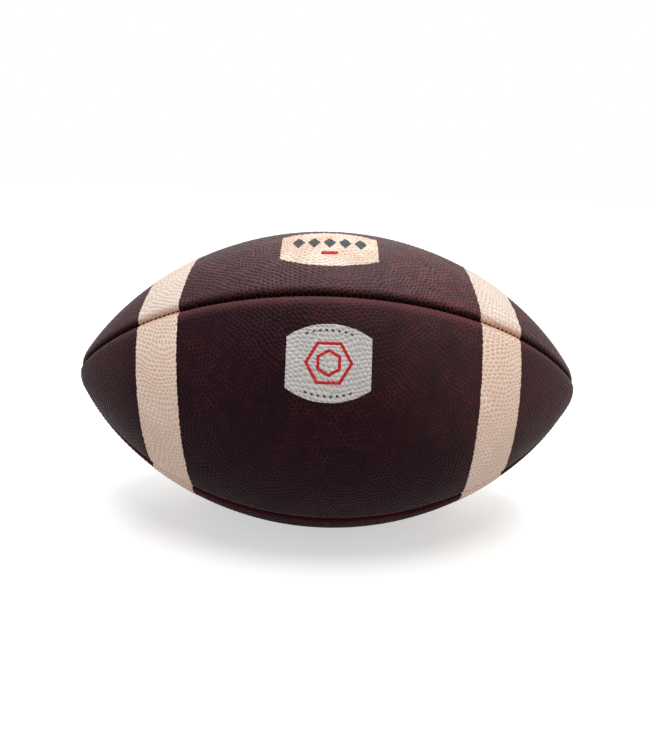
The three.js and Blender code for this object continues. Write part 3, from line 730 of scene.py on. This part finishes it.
def coat_values(finish, worn_from):
    """Distance from the seam, soft mottle and fine speckle of a thin coat.

    Then how far into the valleys between the pebbles a spot lies, and how high the pebbles swell the coat.
    """
    reach, edge = pebble_values(finish)
    fine = finish.spots(1400.0)
    valley = (reach + (fine - 0.5) * 0.5).fade(worn_from, 1.0)
    swell = reach.fade(0.35, 1.0, 1.0, 0.0) + fine * 0.2
    uneven_edge = edge + (reach - 0.6) * 1.2
    return uneven_edge, finish.spots(60.0, 3.0), fine, valley, swell


chalk_white = (0.93, 0.88, 0.83, 1)
# Leather tone where the paint is worn on a rolled lip, with painted shade.
bare_and_shaded_shoulder = (0.48, 0.25, 0.17, 1)


def paint_finish(name, thin_worn, thick_worn, thin_paint, thick_paint):
    """Stripe paint: worn on pebbles, full in valleys, chalky in patches, with wear and painted shade at the
    seam.
    """
    finish = Finish(name)
    edge, mottle, fine, valley, swell = coat_values(finish, 0.7)
    colour = valley.blend(mottle.blend(thin_worn, thick_worn), mottle.blend(thin_paint, thick_paint))
    chalk = valley * finish.spots(42.0, 3.0).fade(0.5, 0.7, 0.0, 0.7)
    height = finish.place().parts()[2]
    # Worn paint with painted shade on the rolled lip at a seam, painted heavier on the upper half.
    rim_wear_and_shading = edge.fade(0.6, 5.0, 0.9, 0.0) * height.fade(-0.03, 0.02, 0.25, 1.0)
    colour = rim_wear_and_shading.blend(chalk.blend(colour, chalk_white), bare_and_shaded_shoulder)
    finish.dress(colour, fine.fade(0.2, 0.8, 0.48, 0.68), (0.7, 0.0002, swell), 0.22)
    return finish


paint = paint_finish(
    "stripe_paint",
    (0.64, 0.44, 0.345, 1), (0.74, 0.535, 0.43, 1), (0.83, 0.70, 0.605, 1), (0.90, 0.80, 0.715, 1))
# Copy of the paint, painted lighter and whiter for the top panel where the light from above falls.
top_lit_paint = paint_finish(
    "stripe_paint_lit_top",
    (0.65, 0.50, 0.42, 1), (0.76, 0.62, 0.53, 1), (0.84, 0.77, 0.70, 1), (0.91, 0.87, 0.82, 1))
for side, (middle, _, hide) in panels.items():
    for end in ("left", "right"):
        mask = stripe_masks.get((side, end), plain_stripe)
        mesh = new_mesh("stripe_paint_" + end + "_" + side, *coat_body(middle, hide, end, *mask))
        keep_grain(mesh, middle, hide)
        new_piece(mesh, top_lit_paint if side == "top" else paint, "stripe_" + end + "_" + side)


# Printed fields
# A silver field on the front panel and a wider warm white one on the top panel are hot stamped
# on the leather: straight at the sides, bowed above and below. Each has a plain pattern in ink.
print_thickness = 0.17
print_sunk = 0.04
print_rough = 0.18
settling_steps = 12
red_ink = (0.46, 0.008, 0.012, 1)
grey_ink = (0.035, 0.037, 0.04, 1)


def field_body(side, run, around, width, edge_height, height):
    """Closed film of ink, and for each vertex its place on the field and distance from the rim."""
    middle, _, hide = panels[side]
    rows, columns = 100, 96
    bow = (height - edge_height) / 2
    bow_radius = (width ** 2 / 4 + bow ** 2) / (2 * bow)
    draw = np.random.RandomState(hide + 5)
    rough = [
        print_rough * np.convolve(draw.uniform(-1, 1, count + 2), np.ones(3) / 3, "valid")
        for count in (rows, columns)
    ]
    p, q = np.meshgrid(np.linspace(-1, 1, rows), np.linspace(-1, 1, columns), indexing="ij")
    u = p * (width / 2 + rough[1][None, :] * np.abs(p) ** 8)
    tall = height / 2 - bow_radius + np.sqrt(bow_radius ** 2 - np.minimum(np.abs(u), width / 2) ** 2)
    v = q * (tall + rough[0][:, None] * np.abs(q) ** 8)
    rim = np.minimum(width / 2 - np.abs(u), tall - np.abs(v))
    basis, spot = seat(math.pi / 2 - run / belly_radius, around)
    flat = spot + u[..., None] * basis[:, 0] + v[..., None] * basis[:, 1]
    lift = np.zeros(u.shape)
    for _ in range(settling_steps):
        point = flat + lift[..., None] * basis[:, 2]
        r = np.hypot(point[..., 1], point[..., 2])
        lift = lift + belly_radius - np.hypot(point[..., 0], r + belly_drop)
    point = flat + lift[..., None] * basis[:, 2]
    run_here, across = laid_flat(point.reshape(-1, 3), middle)
    angle = lean(run_here)
    turn = middle + across / meridian(angle, 0)[1]
    grain = pebbles(run_here, across, hide)
    shells = [
        place(angle, turn, -grain - coat).reshape(rows, columns, 3)
        for coat in (print_thickness, -print_sunk)
    ]
    return *sheet_body(*shells), [np.tile(value.ravel(), 2) for value in (u, v, rim)]


soft_edge = 0.12


def band(value, middle, half):
    """1 where a value is within half of a middle, with a soft edge."""
    return abs(value - middle).fade(half - soft_edge, half + soft_edge, 1.0, 0.0)


def hexagons(u, v, rim):
    """One hexagon turned inside another in red, and a grey dashed line along the bowed rims."""
    wide, tall = abs(u), abs(v)

    def hexagon(first, second, size):
        return band(second.most(first * 0.866 + second * 0.5), size, 0.75)

    dashes = (u + 60.0).maths("PINGPONG", 1.5).fade(0.75, 0.95)
    pair = hexagon(wide, tall, 9.2).most(hexagon(tall, wide, 5.0))
    return pair, dashes * (band(rim, 3.0, 0.55) * band(u, 0.0, 12.0))


def lozenges(u, v, _):
    """A row of five lozenges in grey over a short red bar."""
    size = (u + 64.0).maths("PINGPONG", 4.0) + abs(v - 2.6) * 0.5
    row = size.fade(3.2, 3.5, 1.0, 0.0) * band(u, 0.0, 20.0)
    return band(v, -9.0, 1.7) * band(u, 0.0, 4.2), row


def field_finish(name, worn, full, motif):
    """Stamped film with a stippled ground, and a motif in red and grey ink."""
    finish = Finish(name)
    _, mottle, fine, valley, swell = coat_values(finish, 0.5)
    ground = (mottle + (fine - 0.5) * 0.9).fade(0.3, 0.7).blend(worn, full)
    ground = (valley * 0.7).blend(ground, full)
    red, grey = motif(*finish.stored("field").parts())
    keep = fine.fade(0.25, 0.4, 0.9, 1.0)
    inked = (grey * keep).blend((red * keep).blend(ground, red_ink), grey_ink)
    finish.dress(inked, fine.fade(0.2, 0.8, 0.36, 0.54), (0.7, 0.0005, swell), 0.24)
    return finish


silver_ink = field_finish("silver_ink", (0.42, 0.405, 0.40, 1), (0.56, 0.54, 0.53, 1), hexagons)
warm_ink = field_finish("warm_white_ink", (0.74, 0.42, 0.28, 1), (0.84, 0.76, 0.66, 1), lozenges)

# Run of the field's middle and its angle round the ball, then width, height at the sides and full height.
for side, ink, field_shape in (
    ("front", silver_ink, (-1.2, math.radians(21.0), 40.0, 24.0, 37.0)),
    ("top", warm_ink, (-2.4, math.radians(71.0), 49.8, 26.2, 40.2)),
):
    field_vertices, field_faces, field_spots = field_body(side, *field_shape)
    mesh = new_mesh("printed_field_" + side, field_vertices, field_faces)
    keep_grain(mesh, panels[side][0], panels[side][2])
    store(mesh, "field", field_spots)
    new_piece(mesh, ink, "print_" + side)


# Seam thread
# Waxed thread sews the flanges together from the inside, three to four stitches to the centimetre.
# Where the rolled edges part, each stitch shows as a short bar down in the groove.
thread_radius = 0.4
thread_depth = 4.78
stitch_pitch = 2.9
bar_depth = 2.05
bar_half = 0.8
thread_steps = 4
thread_sides = 6

# Along, across and depth of the thread as it comes up beside the groove, crosses it and goes down.
stitch_stops = (
    (-1.5, 0.0, thread_depth),
    (-0.5, -bar_half - 0.3, bar_depth + 1.4),
    (-0.1, -bar_half, bar_depth + 0.2),
    (0.0, 0.0, bar_depth - 0.25),
    (0.1, bar_half, bar_depth + 0.2),
    (0.5, bar_half + 0.3, bar_depth + 1.4),
)


def through(stops, steps):
    """Smooth line through stops, with a number of steps between each two."""
    ahead = np.concatenate([stops[:1], stops, stops[-1:]])
    a, b, c, d = ahead[:-3], ahead[1:-2], ahead[2:-1], ahead[3:]
    t = (np.arange(steps) / steps)[:, None, None]
    bend, twist = 2 * a - 5 * b + 4 * c - d, 3 * b - a - 3 * c + d
    line = 0.5 * (2 * b + (c - a) * t + bend * t ** 2 + twist * t ** 3)
    return np.concatenate([line.transpose(1, 0, 2).reshape(-1, stops.shape[1]), stops[-1:]])


def tube(rows, columns, ring=False):
    """Quads of a grid whose columns close, and whose rows close too where it is a ring."""
    i, j = grid_cells(rows - 1 + ring, columns)
    n, after = (j + 1) % columns, (i + 1) % rows
    return np.stack([i * columns + j, i * columns + n, after * columns + n, after * columns + j], 1)


def halved(quads):
    """Two triangles for each quad."""
    return np.concatenate([quads[:, [0, 1, 2]], quads[:, [0, 2, 3]]])


def capped_tube(rows, columns):
    """Triangles of a tube of rings, and of its ends, whose hubs are the two vertices after the rings."""
    ring = np.arange(columns)
    first_cap = fan(rows * columns, ring)[:, ::-1]
    last_cap = fan(rows * columns + 1, (rows - 1) * columns + ring)
    return np.concatenate([halved(tube(rows, columns)), first_cap, last_cap])


def swept(line, first, second, section):
    """Closed body of a section carried along a line, on two directions at each of its points."""
    rings = line[:, None] + section[:, 0, None] * first[:, None] + section[:, 1, None] * second[:, None]
    points = np.concatenate([rings.reshape(-1, 3), line[:1], line[-1:]])
    return points, capped_tube(*rings.shape[:2])


def unit(rows):
    """Each row at length 1."""
    return rows / np.linalg.norm(rows, axis=-1, keepdims=True)


def stitched(seam, start, finish_run):
    """Thread of one seam as a closed tube with its bars across the groove."""
    count = int((finish_run - start) / stitch_pitch)
    stops = [(start, 0.0, thread_depth)]
    for run in start + (np.arange(count) + 0.5) * (finish_run - start) / count:
        stops += [(run + along, across, depth) for along, across, depth in stitch_stops]
    stops.append((finish_run, 0.0, thread_depth))
    run, across, depth = through(np.array(stops), thread_steps).T
    angle = lean(run)
    line = place(angle, seam + across / meridian(angle, depth)[1], depth)
    heading = unit(np.gradient(line, axis=0))
    outward = ways(angle, seam)[2]
    aside = unit(np.cross(heading, outward))
    turn = np.linspace(0, 2 * np.pi, thread_sides + 1)[:-1]
    section = thread_radius * np.stack([np.cos(turn), np.sin(turn)], 1)
    return swept(line, aside, np.cross(heading, aside), section)


thread = Finish("waxed_thread")
ply_values = {"Vector": thread.place(), "Scale": 900.0, "Distortion": 2.0}
ply = take(thread.tree, "ShaderNodeTexWave", "Fac", ply_values, bands_direction="DIAGONAL")
fine = thread.spots(700.0)
colour = fine.blend((0.0015, 0.001, 0.001, 1), (0.005, 0.0035, 0.003, 1))
thread.dress(colour, fine.fade(0.2, 0.8, 0.5, 0.75), (0.5, 0.0001, ply), 0.05)

# The thread stops where the flanges taper off at the tips, and short of the laced slit.
tip_clear = 1.0
slit_clear = 5.0
thread_run = float(run_at(np.arcsin((taper_radius + belly_drop) / belly_radius))) - tip_clear
slit_run = belly_radius * math.asin(slit_half / belly_radius) + slit_clear
for name, seam, start, finish_run in (
    ("front_top", quarter, -thread_run, thread_run),
    ("back_bottom", 5 * quarter, -thread_run, thread_run),
    ("bottom_front", 7 * quarter, -thread_run, thread_run),
    ("lace_left", lace_seam, -thread_run, -slit_run),
    ("lace_right", lace_seam, slit_run, thread_run),
):
    mesh = new_mesh("stitches_" + name, *stitched(seam, start, finish_run))
    new_piece(mesh, thread, "seam_thread_" + name)


# Linings
# Woven cotton is bonded behind each panel between its two flanges, so that the leather can't
# stretch. It stops short of the strips behind the lace and of the patch round the valve.
lining_depth = 2.5
lining_thickness = 0.9
lining_tip = 0.1
seat_gap = 0.3
facing_width = 15.0
facing_half = lace_end + 8.0
facing_clear = 2.0
facing_ease = 1.5
patch_radius = 13.0
patch_sides = 64
yarn_pitch = 0.9


def layer_edge(angle, laced, inner):
    """Distance from the seam where a layer behind a panel stops."""
    size = np.minimum(1, meridian(angle, 0)[1] / taper_radius)
    leaning = flange_splay * (inner - leather_thickness) / (flange_depth - leather_thickness)
    plain = seam_face + (flange_thickness + leaning) * size + seat_gap
    if not laced:
        return plain
    beside = np.clip((facing_half + facing_clear - np.abs(run_at(angle))) / facing_ease, 0, 1)
    return plain + (facing_width + seat_gap - plain) * beside


def layer_body(middle, laced_side, outer, inner):
    """Closed layer behind one panel, over its belly."""
    rows, columns = 260, 72
    angle = lean(np.linspace(-belly_run + lining_tip, belly_run - lining_tip, rows))
    shells = []
    for depth in (outer, inner):
        low = -seam_offset(angle, depth, layer_edge(angle, laced_side < 0, inner))
        high = seam_offset(angle, depth, layer_edge(angle, laced_side > 0, inner))
        around = low[:, None] + (high - low)[:, None] * np.linspace(0, 1, columns)
        shells.append(place(angle[:, None], middle + around, depth))
    return sheet_body(*shells)


def keep_lay(mesh, middle):
    """Stores the run and the distance across of each vertex, for the weave."""
    run, across = flat_places(mesh, middle)
    store(mesh, "lay", [run, across, 0 * run])


cloth = Finish("woven_lining")
turns = [part * (2 * math.pi / yarn_pitch) for part in cloth.stored("lay").parts()[:2]]
weave = turns[0].maths("SINE") * turns[1].maths("SINE")
fine = cloth.spots(300.0, 3.0)
colour = fine.blend((0.42, 0.37, 0.29, 1), (0.62, 0.56, 0.46, 1))
colour = weave.fade(-1.0, 0.6, 0.35, 0.0).blend(colour, (0.2, 0.17, 0.13, 1))
cloth.dress(colour, fine.fade(0.2, 0.8, 0.8, 0.95), (0.7, 0.0003, weave), 0.2)
for side, (middle, laced_side, _) in panels.items():
    layer = layer_body(middle, laced_side, lining_depth, lining_depth + lining_thickness)
    mesh = new_mesh("cloth_lining_" + side, *layer)
    if side == "back":
        opening = 2 * (patch_radius + seat_gap)
        mesh = punched(mesh, [punch_body(math.pi / 2, valve_around, opening, opening, patch_sides)])
    keep_lay(mesh, middle)
    new_piece(mesh, cloth, "lining_" + side)


# Strips behind the lace
# A strip of firm split leather backs the holes on either side of the slit, and a wide tongue lies
# under the lace to keep it off the bladder.
facing_thickness = 1.6
facing_corner = 4.0
flange_lean = 0.45
tongue_depth = 7.45
tongue_thickness = 1.0
tongue_half_width = 13.0
tongue_half = lace_end + 4.0
tongue_corner = 8.0

# A corner is rounded not quite to a point.
rounded_share = 0.999


def strip_body(half, near, far, outer, inner, round_off):
    """Closed strip along the lace seam between two distances across it, with rounded corners."""
    rows, columns = 150, 30
    along = half * np.sin(np.linspace(-np.pi / 2, np.pi / 2, rows))
    short = np.clip((round_off - (half - np.abs(along))) / round_off, 0, 1)
    inset = round_off * (1 - np.sqrt(1 - short ** 2 * rounded_share))
    low, high = near + inset, far - inset
    across = low[:, None] + (high - low)[:, None] * np.linspace(0, 1, columns)
    angle = (np.pi / 2 - along / belly_radius)[:, None]
    around = lace_seam + across / meridian(angle, 0)[1]
    return sheet_body(place(angle, around, outer), place(angle, around, inner))


split_leather = Finish("split_leather")
nap = split_leather.spots(900.0, 4.0, 0.7)
colour = split_leather.spots(60.0).blend((0.30, 0.17, 0.09, 1), (0.40, 0.25, 0.14, 1))
colour = nap.fade(0.3, 0.6, 0.5, 0.0).blend(colour, (0.16, 0.085, 0.045, 1))
split_leather.dress(colour, nap.fade(0.2, 0.8, 0.75, 0.95), (0.6, 0.0003, nap), 0.2)
facing_near = seam_face + flange_thickness + flange_lean + seat_gap
for side, way in (("top", -1), ("back", 1)):
    near, far = sorted((way * facing_near, way * facing_width))
    strip = strip_body(facing_half, near, far, lining_depth, lining_depth + facing_thickness, facing_corner)
    mesh = punched(new_mesh("lace_facing_strip_" + side, *strip), lace_punches(way))
    new_piece(mesh, split_leather, "lace_facing_" + side)
strip = strip_body(tongue_half, -tongue_half_width, tongue_half_width,
                   tongue_depth, tongue_depth + tongue_thickness, tongue_corner)
new_piece(new_mesh("lace_tongue_strip", *strip), split_leather, "lace_tongue")


# Bladder
# A thin moulded rubber bag fills the cover. Pressed outward, it folds in over the sewn flanges
# and under the tongue.
bladder_depth = lining_depth + lining_thickness + seat_gap
bladder_wall = 0.8
bladder_tip = 1.5
fold_gap = 0.4

# Distances over which the bladder folds, from a seam, beyond the tongue's ends and from its middle.
seam_fold = (3.6, 17.0)
tongue_end_fold = (2.0, 16.0)
tongue_fold = (tongue_half_width + 0.6, 32.0)


def bladder_body():
    """Two closed skins, the inner one turned inward."""
    rows, columns = 180, 240
    run = np.linspace(-half_run + bladder_tip, half_run - bladder_tip, rows)
    angle = lean(run)[:, None]
    around = np.arange(columns) * 2 * np.pi / columns
    r = meridian(angle, 0)[1]
    size = np.minimum(1, r / taper_radius)
    from_seam = r * np.abs(around % (2 * quarter) - quarter)
    from_lace = r * np.abs(np.angle(np.exp(1j * (around - lace_seam))))

    def fold(distance, full, none):
        step = np.clip((none - distance) / (none - full), 0, 1)
        return step * step * (3 - 2 * step)

    over_flange = flange_depth + fold_gap - bladder_depth
    over_flange = over_flange * size * fold(from_seam, *[distance * size for distance in seam_fold])
    full_end, no_end = tongue_end_fold
    beside_tongue = np.clip((tongue_half + no_end - np.abs(run)) / (no_end - full_end), 0, 1)[:, None]
    under_tongue = tongue_depth + tongue_thickness + fold_gap - bladder_depth
    under_lace = under_tongue * beside_tongue * fold(from_lace, *tongue_fold)
    depth = bladder_depth + np.maximum(over_flange, under_lace)
    faces = capped_tube(rows, columns)[:, ::-1]
    shells = []
    for extra in (0.0, bladder_wall):
        skin_points = place(angle, around[None, :], depth + extra).reshape(-1, 3)
        tip = ball_length / 2 - bladder_depth - extra
        shells.append(np.concatenate([skin_points, [[-tip, 0, 0], [tip, 0, 0]]]))
    return np.concatenate(shells), np.concatenate([faces, faces[:, ::-1] + len(shells[0])])


def rubber_finish(name, dark, pale):
    """Black rubber with a pale bloom."""
    finish = Finish(name)
    bloom = finish.spots(45.0, 4.0, 0.6)
    colour = bloom.fade(0.35, 0.7).blend(dark, pale)
    finish.dress(colour, bloom.fade(0.3, 0.7, 0.5, 0.72), (0.3, 0.0002, finish.spots(1600.0, 3.0)), 0.4)
    return finish


bladder_rubber = rubber_finish("bladder_rubber", (0.012, 0.012, 0.013, 1), (0.035, 0.034, 0.034, 1))
mesh = new_mesh("rubber_bladder", *bladder_body())
mesh = punched(mesh, [valve_punch()])
new_piece(mesh, bladder_rubber, "bladder")


# Needle valve
# A rubber housing is bonded inside the bladder and its boss comes up through the back panel. The
# plug in it has a dimpled slit for the pump needle, and a cloth patch backs the hole.
valve_sides = 64
valve_recess = 0.6


def turned_body(profile, ring):
    """Body turned about the valve's axis from radii and heights.

    The profile of a ring closes on itself, and any other goes from axis to axis.
    """
    basis, spot = seat(math.pi / 2, valve_around)
    rows = np.array(profile if ring else profile[1:-1])
    turn = np.arange(valve_sides) * 2 * np.pi / valve_sides
    radius, height = rows[:, :1], rows[:, 1:]
    points = np.stack([radius * np.cos(turn), radius * np.sin(turn), height + 0 * turn], -1).reshape(-1, 3)
    if ring:
        faces = halved(tube(len(rows), valve_sides, True))
    else:
        points = np.concatenate([points, [[0, 0, profile[0][1]], [0, 0, profile[-1][1]]]])
        faces = capped_tube(len(rows), valve_sides)
    return points @ basis.T + spot, faces


def patch_body():
    """Ring of cloth behind the leather round the valve."""
    rings, count = 24, 96
    radius = np.linspace(valve_hole / 2, patch_radius, rings)
    turn = np.arange(count) * 2 * np.pi / count
    u, v = radius[:, None] * np.cos(turn), radius[:, None] * np.sin(turn)
    angle = np.pi / 2 - u / belly_radius
    around = valve_around + v / meridian(angle, 0)[1]
    upper, lower = [place(angle, around, depth) for depth in (lining_depth, lining_depth + lining_thickness)]
    loop = np.concatenate([upper, lower[::-1]])
    return loop.reshape(-1, 3), tube(2 * rings, count, True)[:, [0, 3, 2, 1]]


valve_rubber = rubber_finish("valve_rubber", (0.02, 0.019, 0.019, 1), (0.06, 0.056, 0.054, 1))

# Radius and height over the skin, round the housing's section and down the plug.
housing_profile = [
    (3.05, -valve_recess - 0.1), (3.2, -valve_recess), (3.5, -valve_recess), (3.7, -valve_recess - 0.25),
    (3.7, -4.6), (4.1, -5.0), (8.6, -5.45), (9.0, -5.7), (9.0, -6.2), (8.6, -6.5), (4.9, -6.4), (4.4, -6.9),
    (4.4, -17.2), (4.0, -17.7), (2.5, -17.7), (2.3, -17.4), (2.3, -3.4), (3.0, -3.3),
]
core_profile = [
    (0.0, -17.7), (1.8, -17.7), (2.0, -17.4), (2.0, -3.0), (2.7, -2.9), (2.7, -valve_recess - 0.2),
    (2.5, -valve_recess), (1.6, -valve_recess), (1.1, -valve_recess - 0.25), (0.55, -valve_recess - 0.7),
    (0.35, -valve_recess - 2.2), (0.0, -valve_recess - 2.4),
]
mesh = new_mesh("valve_housing_moulding", *turned_body(housing_profile[::-1], True))
new_piece(mesh, valve_rubber, "valve_housing")
mesh = new_mesh("valve_plug", *turned_body(core_profile, False))
new_piece(mesh, valve_rubber, "valve_core")
mesh = new_mesh("valve_patch_cloth", *patch_body())
keep_lay(mesh, panels["back"][0])
new_piece(mesh, cloth, "valve_patch")


# Tracker
# A small round case with a cell and a board sits in a rubber pocket bonded inside the bladder,
# opposite the valve, to balance it.
def smooth_finish(name, dark, pale, low, high, metal=0.0):
    """Smooth plastic, lacquer or metal with a faint cloud in it."""
    finish = Finish(name)
    fine = finish.spots(2500.0)
    colour = finish.spots(120.0, 3.0).blend(dark, pale)
    finish.dress(colour, fine.fade(0.25, 0.75, low, high), (0.25, 0.0001, fine))
    finish.shader.inputs["Metallic"].default_value = metal
    return finish


case_plastic = smooth_finish("case_plastic", (0.20, 0.205, 0.21, 1), (0.25, 0.255, 0.26, 1), 0.42, 0.58)
board_lacquer = smooth_finish("board_lacquer", (0.01, 0.06, 0.03, 1), (0.016, 0.1, 0.05, 1), 0.25, 0.4)
cell_steel = smooth_finish("cell_steel", (0.5, 0.5, 0.49, 1), (0.62, 0.62, 0.6, 1), 0.25, 0.4, metal=1.0)
for node, finish in (
    ("tracker_pocket", bladder_rubber),
    ("tracker_case", case_plastic),
    ("tracker_cover", case_plastic),
    ("tracker_board", board_lacquer),
    ("tracker_cell", cell_steel),
):
    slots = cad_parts[node].data.materials
    slots.clear()
    slots.append(finish.material)


# Lace
# One flat lace of grained white composite closes the slit: it runs along the seam, dives through
# the end holes and comes back as eight bars, each out of one side hole and into the other.
lace_width = 4.4
lace_thickness = 1.8
lace_over = lace_thickness / 2 + seat_gap
lace_bar = lace_over + lace_thickness + seat_gap
lace_under = -6.2
lace_throat = -5.0
lace_steps = 8
lace_sides = 20
lace_squareness = 0.55


def lace_stops():
    """Along, across, height over the skin and turn of the band at each bend of the lace."""
    hole, bend, reach = lace_hole_from_seam, lace_thickness, lace_end_reach
    long_way = math.pi / 2
    slant = -math.atan2(lace_pitch, 2 * (hole - bend))

    def dive(end, way):
        return [
            (end - way * reach / 2, 0, lace_over, long_way),
            (end - way * bend, 0, lace_over, long_way),
            (end, 0, -leather_thickness, long_way),
            (end - way * bend, 0, lace_under, long_way),
            (end - way * reach / 2, 0, lace_under, long_way),
        ]

    stops = dive(lace_end, 1)[::-1]
    stops += [(run, 0, lace_over, long_way) for run in row_runs[::-1]]
    stops += dive(-lace_end, -1)
    stops.append((row_runs[0] - bend, hole / 4, lace_under, long_way / 2))
    for row, run in enumerate(row_runs):
        turn_in = 0 if row == 0 else slant / 2
        turn_out = 0 if row == lace_rows - 1 else slant / 2
        stops += [
            (run, hole - bend, lace_under, turn_in),
            (run, hole, lace_throat, 0),
            (run, hole, -leather_thickness / 2, 0),
            (run, hole - bend, lace_over, 0),
            (run, lace_width / 4, lace_bar, 0),
            (run, -lace_width / 4, lace_bar, 0),
            (run, bend - hole, lace_over, 0),
            (run, -hole, -leather_thickness / 2, 0),
            (run, -hole, lace_throat, 0),
            (run, bend - hole, lace_under, turn_out),
        ]
        if row < lace_rows - 1:
            stops.append((run + lace_pitch / 2, 0, lace_under, slant))
    return np.array(stops)


def lace_body():
    """The lace as one closed band."""
    along, across, height, turn = through(lace_stops(), lace_steps).T
    angle = np.pi / 2 - along / belly_radius
    around = lace_seam + across / meridian(angle, 0)[1]
    line = place(angle, around, -height)
    lengthways, crossways, _ = ways(angle, around)
    heading = unit(np.gradient(line, axis=0))
    wide = lengthways * np.cos(turn)[:, None] + crossways * np.sin(turn)[:, None]
    wide = unit(wide - heading * (heading * wide).sum(1, keepdims=True))
    t = np.linspace(0, 2 * np.pi, lace_sides + 1)[:-1]
    circle = np.stack([np.cos(t), np.sin(t)], 1)
    section = np.sign(circle) * np.abs(circle) ** lace_squareness * [lace_width / 2, lace_thickness / 2]
    return swept(line, wide, np.cross(heading, wide), section)


composite = Finish("lace_composite")
grain = composite.spots(1100.0, 3.0, 0.6)
colour = composite.spots(55.0, 3.0).blend((0.66, 0.62, 0.55, 1), (0.78, 0.75, 0.69, 1))
colour = grain.fade(0.3, 0.5, 0.35, 0.0).blend(colour, (0.45, 0.4, 0.34, 1))
composite.dress(colour, grain.fade(0.2, 0.8, 0.45, 0.65), (0.5, 0.00025, grain))
mesh = new_mesh("lace_band", *lace_body())
new_piece(mesh, composite, "lace")


# Camera
# The ball is seen from a little above its middle, at about an arm's length. The lens was fitted
# to the photograph in pixels of its longer side.
camera_distance = 0.4
view_tilt = 0.0138
view_roll = 0.0367
view_height = math.radians(15.75)
sensor_width = 36.0
picture_side = 750
focal_pixels = 684.6
shift_pixels = (-3.18, 4.66)
level = Matrix.Rotation(math.pi / 2 - view_height, 3, "X")
roll_turn = Matrix.Rotation(-view_roll, 3, "Z")
tilt_turn = Matrix.Rotation(view_tilt, 3, "Y")
facing = level @ (roll_turn @ tilt_turn).transposed()
lens = bpy.data.cameras.new("camera")
lens.sensor_width = sensor_width
lens.lens = focal_pixels / picture_side * sensor_width
lens.shift_x, lens.shift_y = [pixels / picture_side for pixels in shift_pixels]
lens.clip_start = 0.01
camera = new_object("camera", lens)
camera.matrix_world = Matrix.Translation(facing.col[2] * camera_distance) @ facing.to_4x4()
bpy.context.scene.camera = camera


# Floor and light
# Pale floor under the ball in a bright, even room, with wide soft lights overhead,
# behind and at both sides.
floor_gap = 0.0002
floor_reach = 30.0
floor_glow = 0.55
room_light = 0.1
floor_height = (rest_flat - girth_radius) / millimetres - floor_gap
floor_mesh = bpy.data.meshes.new("floor")
floor_corners = [(-1, -1), (1, -1), (1, 1), (-1, 1)]
floor_mesh.from_pydata(
    [(x * floor_reach, y * floor_reach, floor_height) for x, y in floor_corners], [], [(0, 1, 2, 3)])
floor = new_object("floor", floor_mesh)


def seen_rays(tree):
    """1 for rays that show a surface to the camera, straight, in a reflection or through glass."""
    rays = ("Is Camera Ray", "Is Glossy Ray", "Is Transmission Ray")
    straight, mirrored, through_glass = [take(tree, "ShaderNodeLightPath", ray) for ray in rays]
    return straight.most(mirrored).most(through_glass)


# The floor is dull, glows to white where it is seen, and keeps the ball's shadow.
dull = Finish("pale_floor")
for name, value in (("Base Color", (0.6, 0.6, 0.6, 1)), ("Roughness", 0.9), ("Specular IOR Level", 0.0)):
    dull.shader.inputs[name].default_value = value
glow = take(dull.tree, "ShaderNodeEmission", 0, {"Strength": seen_rays(dull.tree) * floor_glow})
both = take(dull.tree, "ShaderNodeAddShader", 0, {0: Value(dull.shader.outputs[0]), 1: glow})
dull.tree.links.new(both.socket, dull.tree.nodes["Material Output"].inputs["Surface"])
floor_mesh.materials.append(dull.material)

room = bpy.data.worlds.new("room")
bpy.context.scene.world = room
room.use_nodes = True
room_strength = seen_rays(room.node_tree).fade(0.0, 1.0, room_light, 1.0)
backdrop = room.node_tree.nodes["Background"].inputs
backdrop["Color"].default_value = (1, 1, 1, 1)
room.node_tree.links.new(room_strength.socket, backdrop["Strength"])


def soft_light(name, strength, spread, way, colour=(1.0, 1.0, 1.0)):
    """Far light of a spread in degrees that comes from one way."""
    lamp = bpy.data.lights.new(name, "SUN")
    lamp.energy = strength
    lamp.color = colour
    lamp.angle = math.radians(spread)
    item = new_object(name, lamp)
    item.rotation_mode = "QUATERNION"
    item.rotation_quaternion = (-Vector(way)).to_track_quat("-Z", "Y")


soft_light("overhead_light", 2.1, 30.0, (0.06, -0.26, 1.0))
soft_light("back_light", 1.5, 50.0, (0.0, 0.5, 1.0))
soft_light("left_light", 0.47, 50.0, (-1.0, -0.45, 0.5))
soft_light("right_light", 0.7, 50.0, (1.0, -0.7, 0.7), (1.0, 0.84, 0.7))

bpy.context.scene.view_settings.view_transform = "Standard"
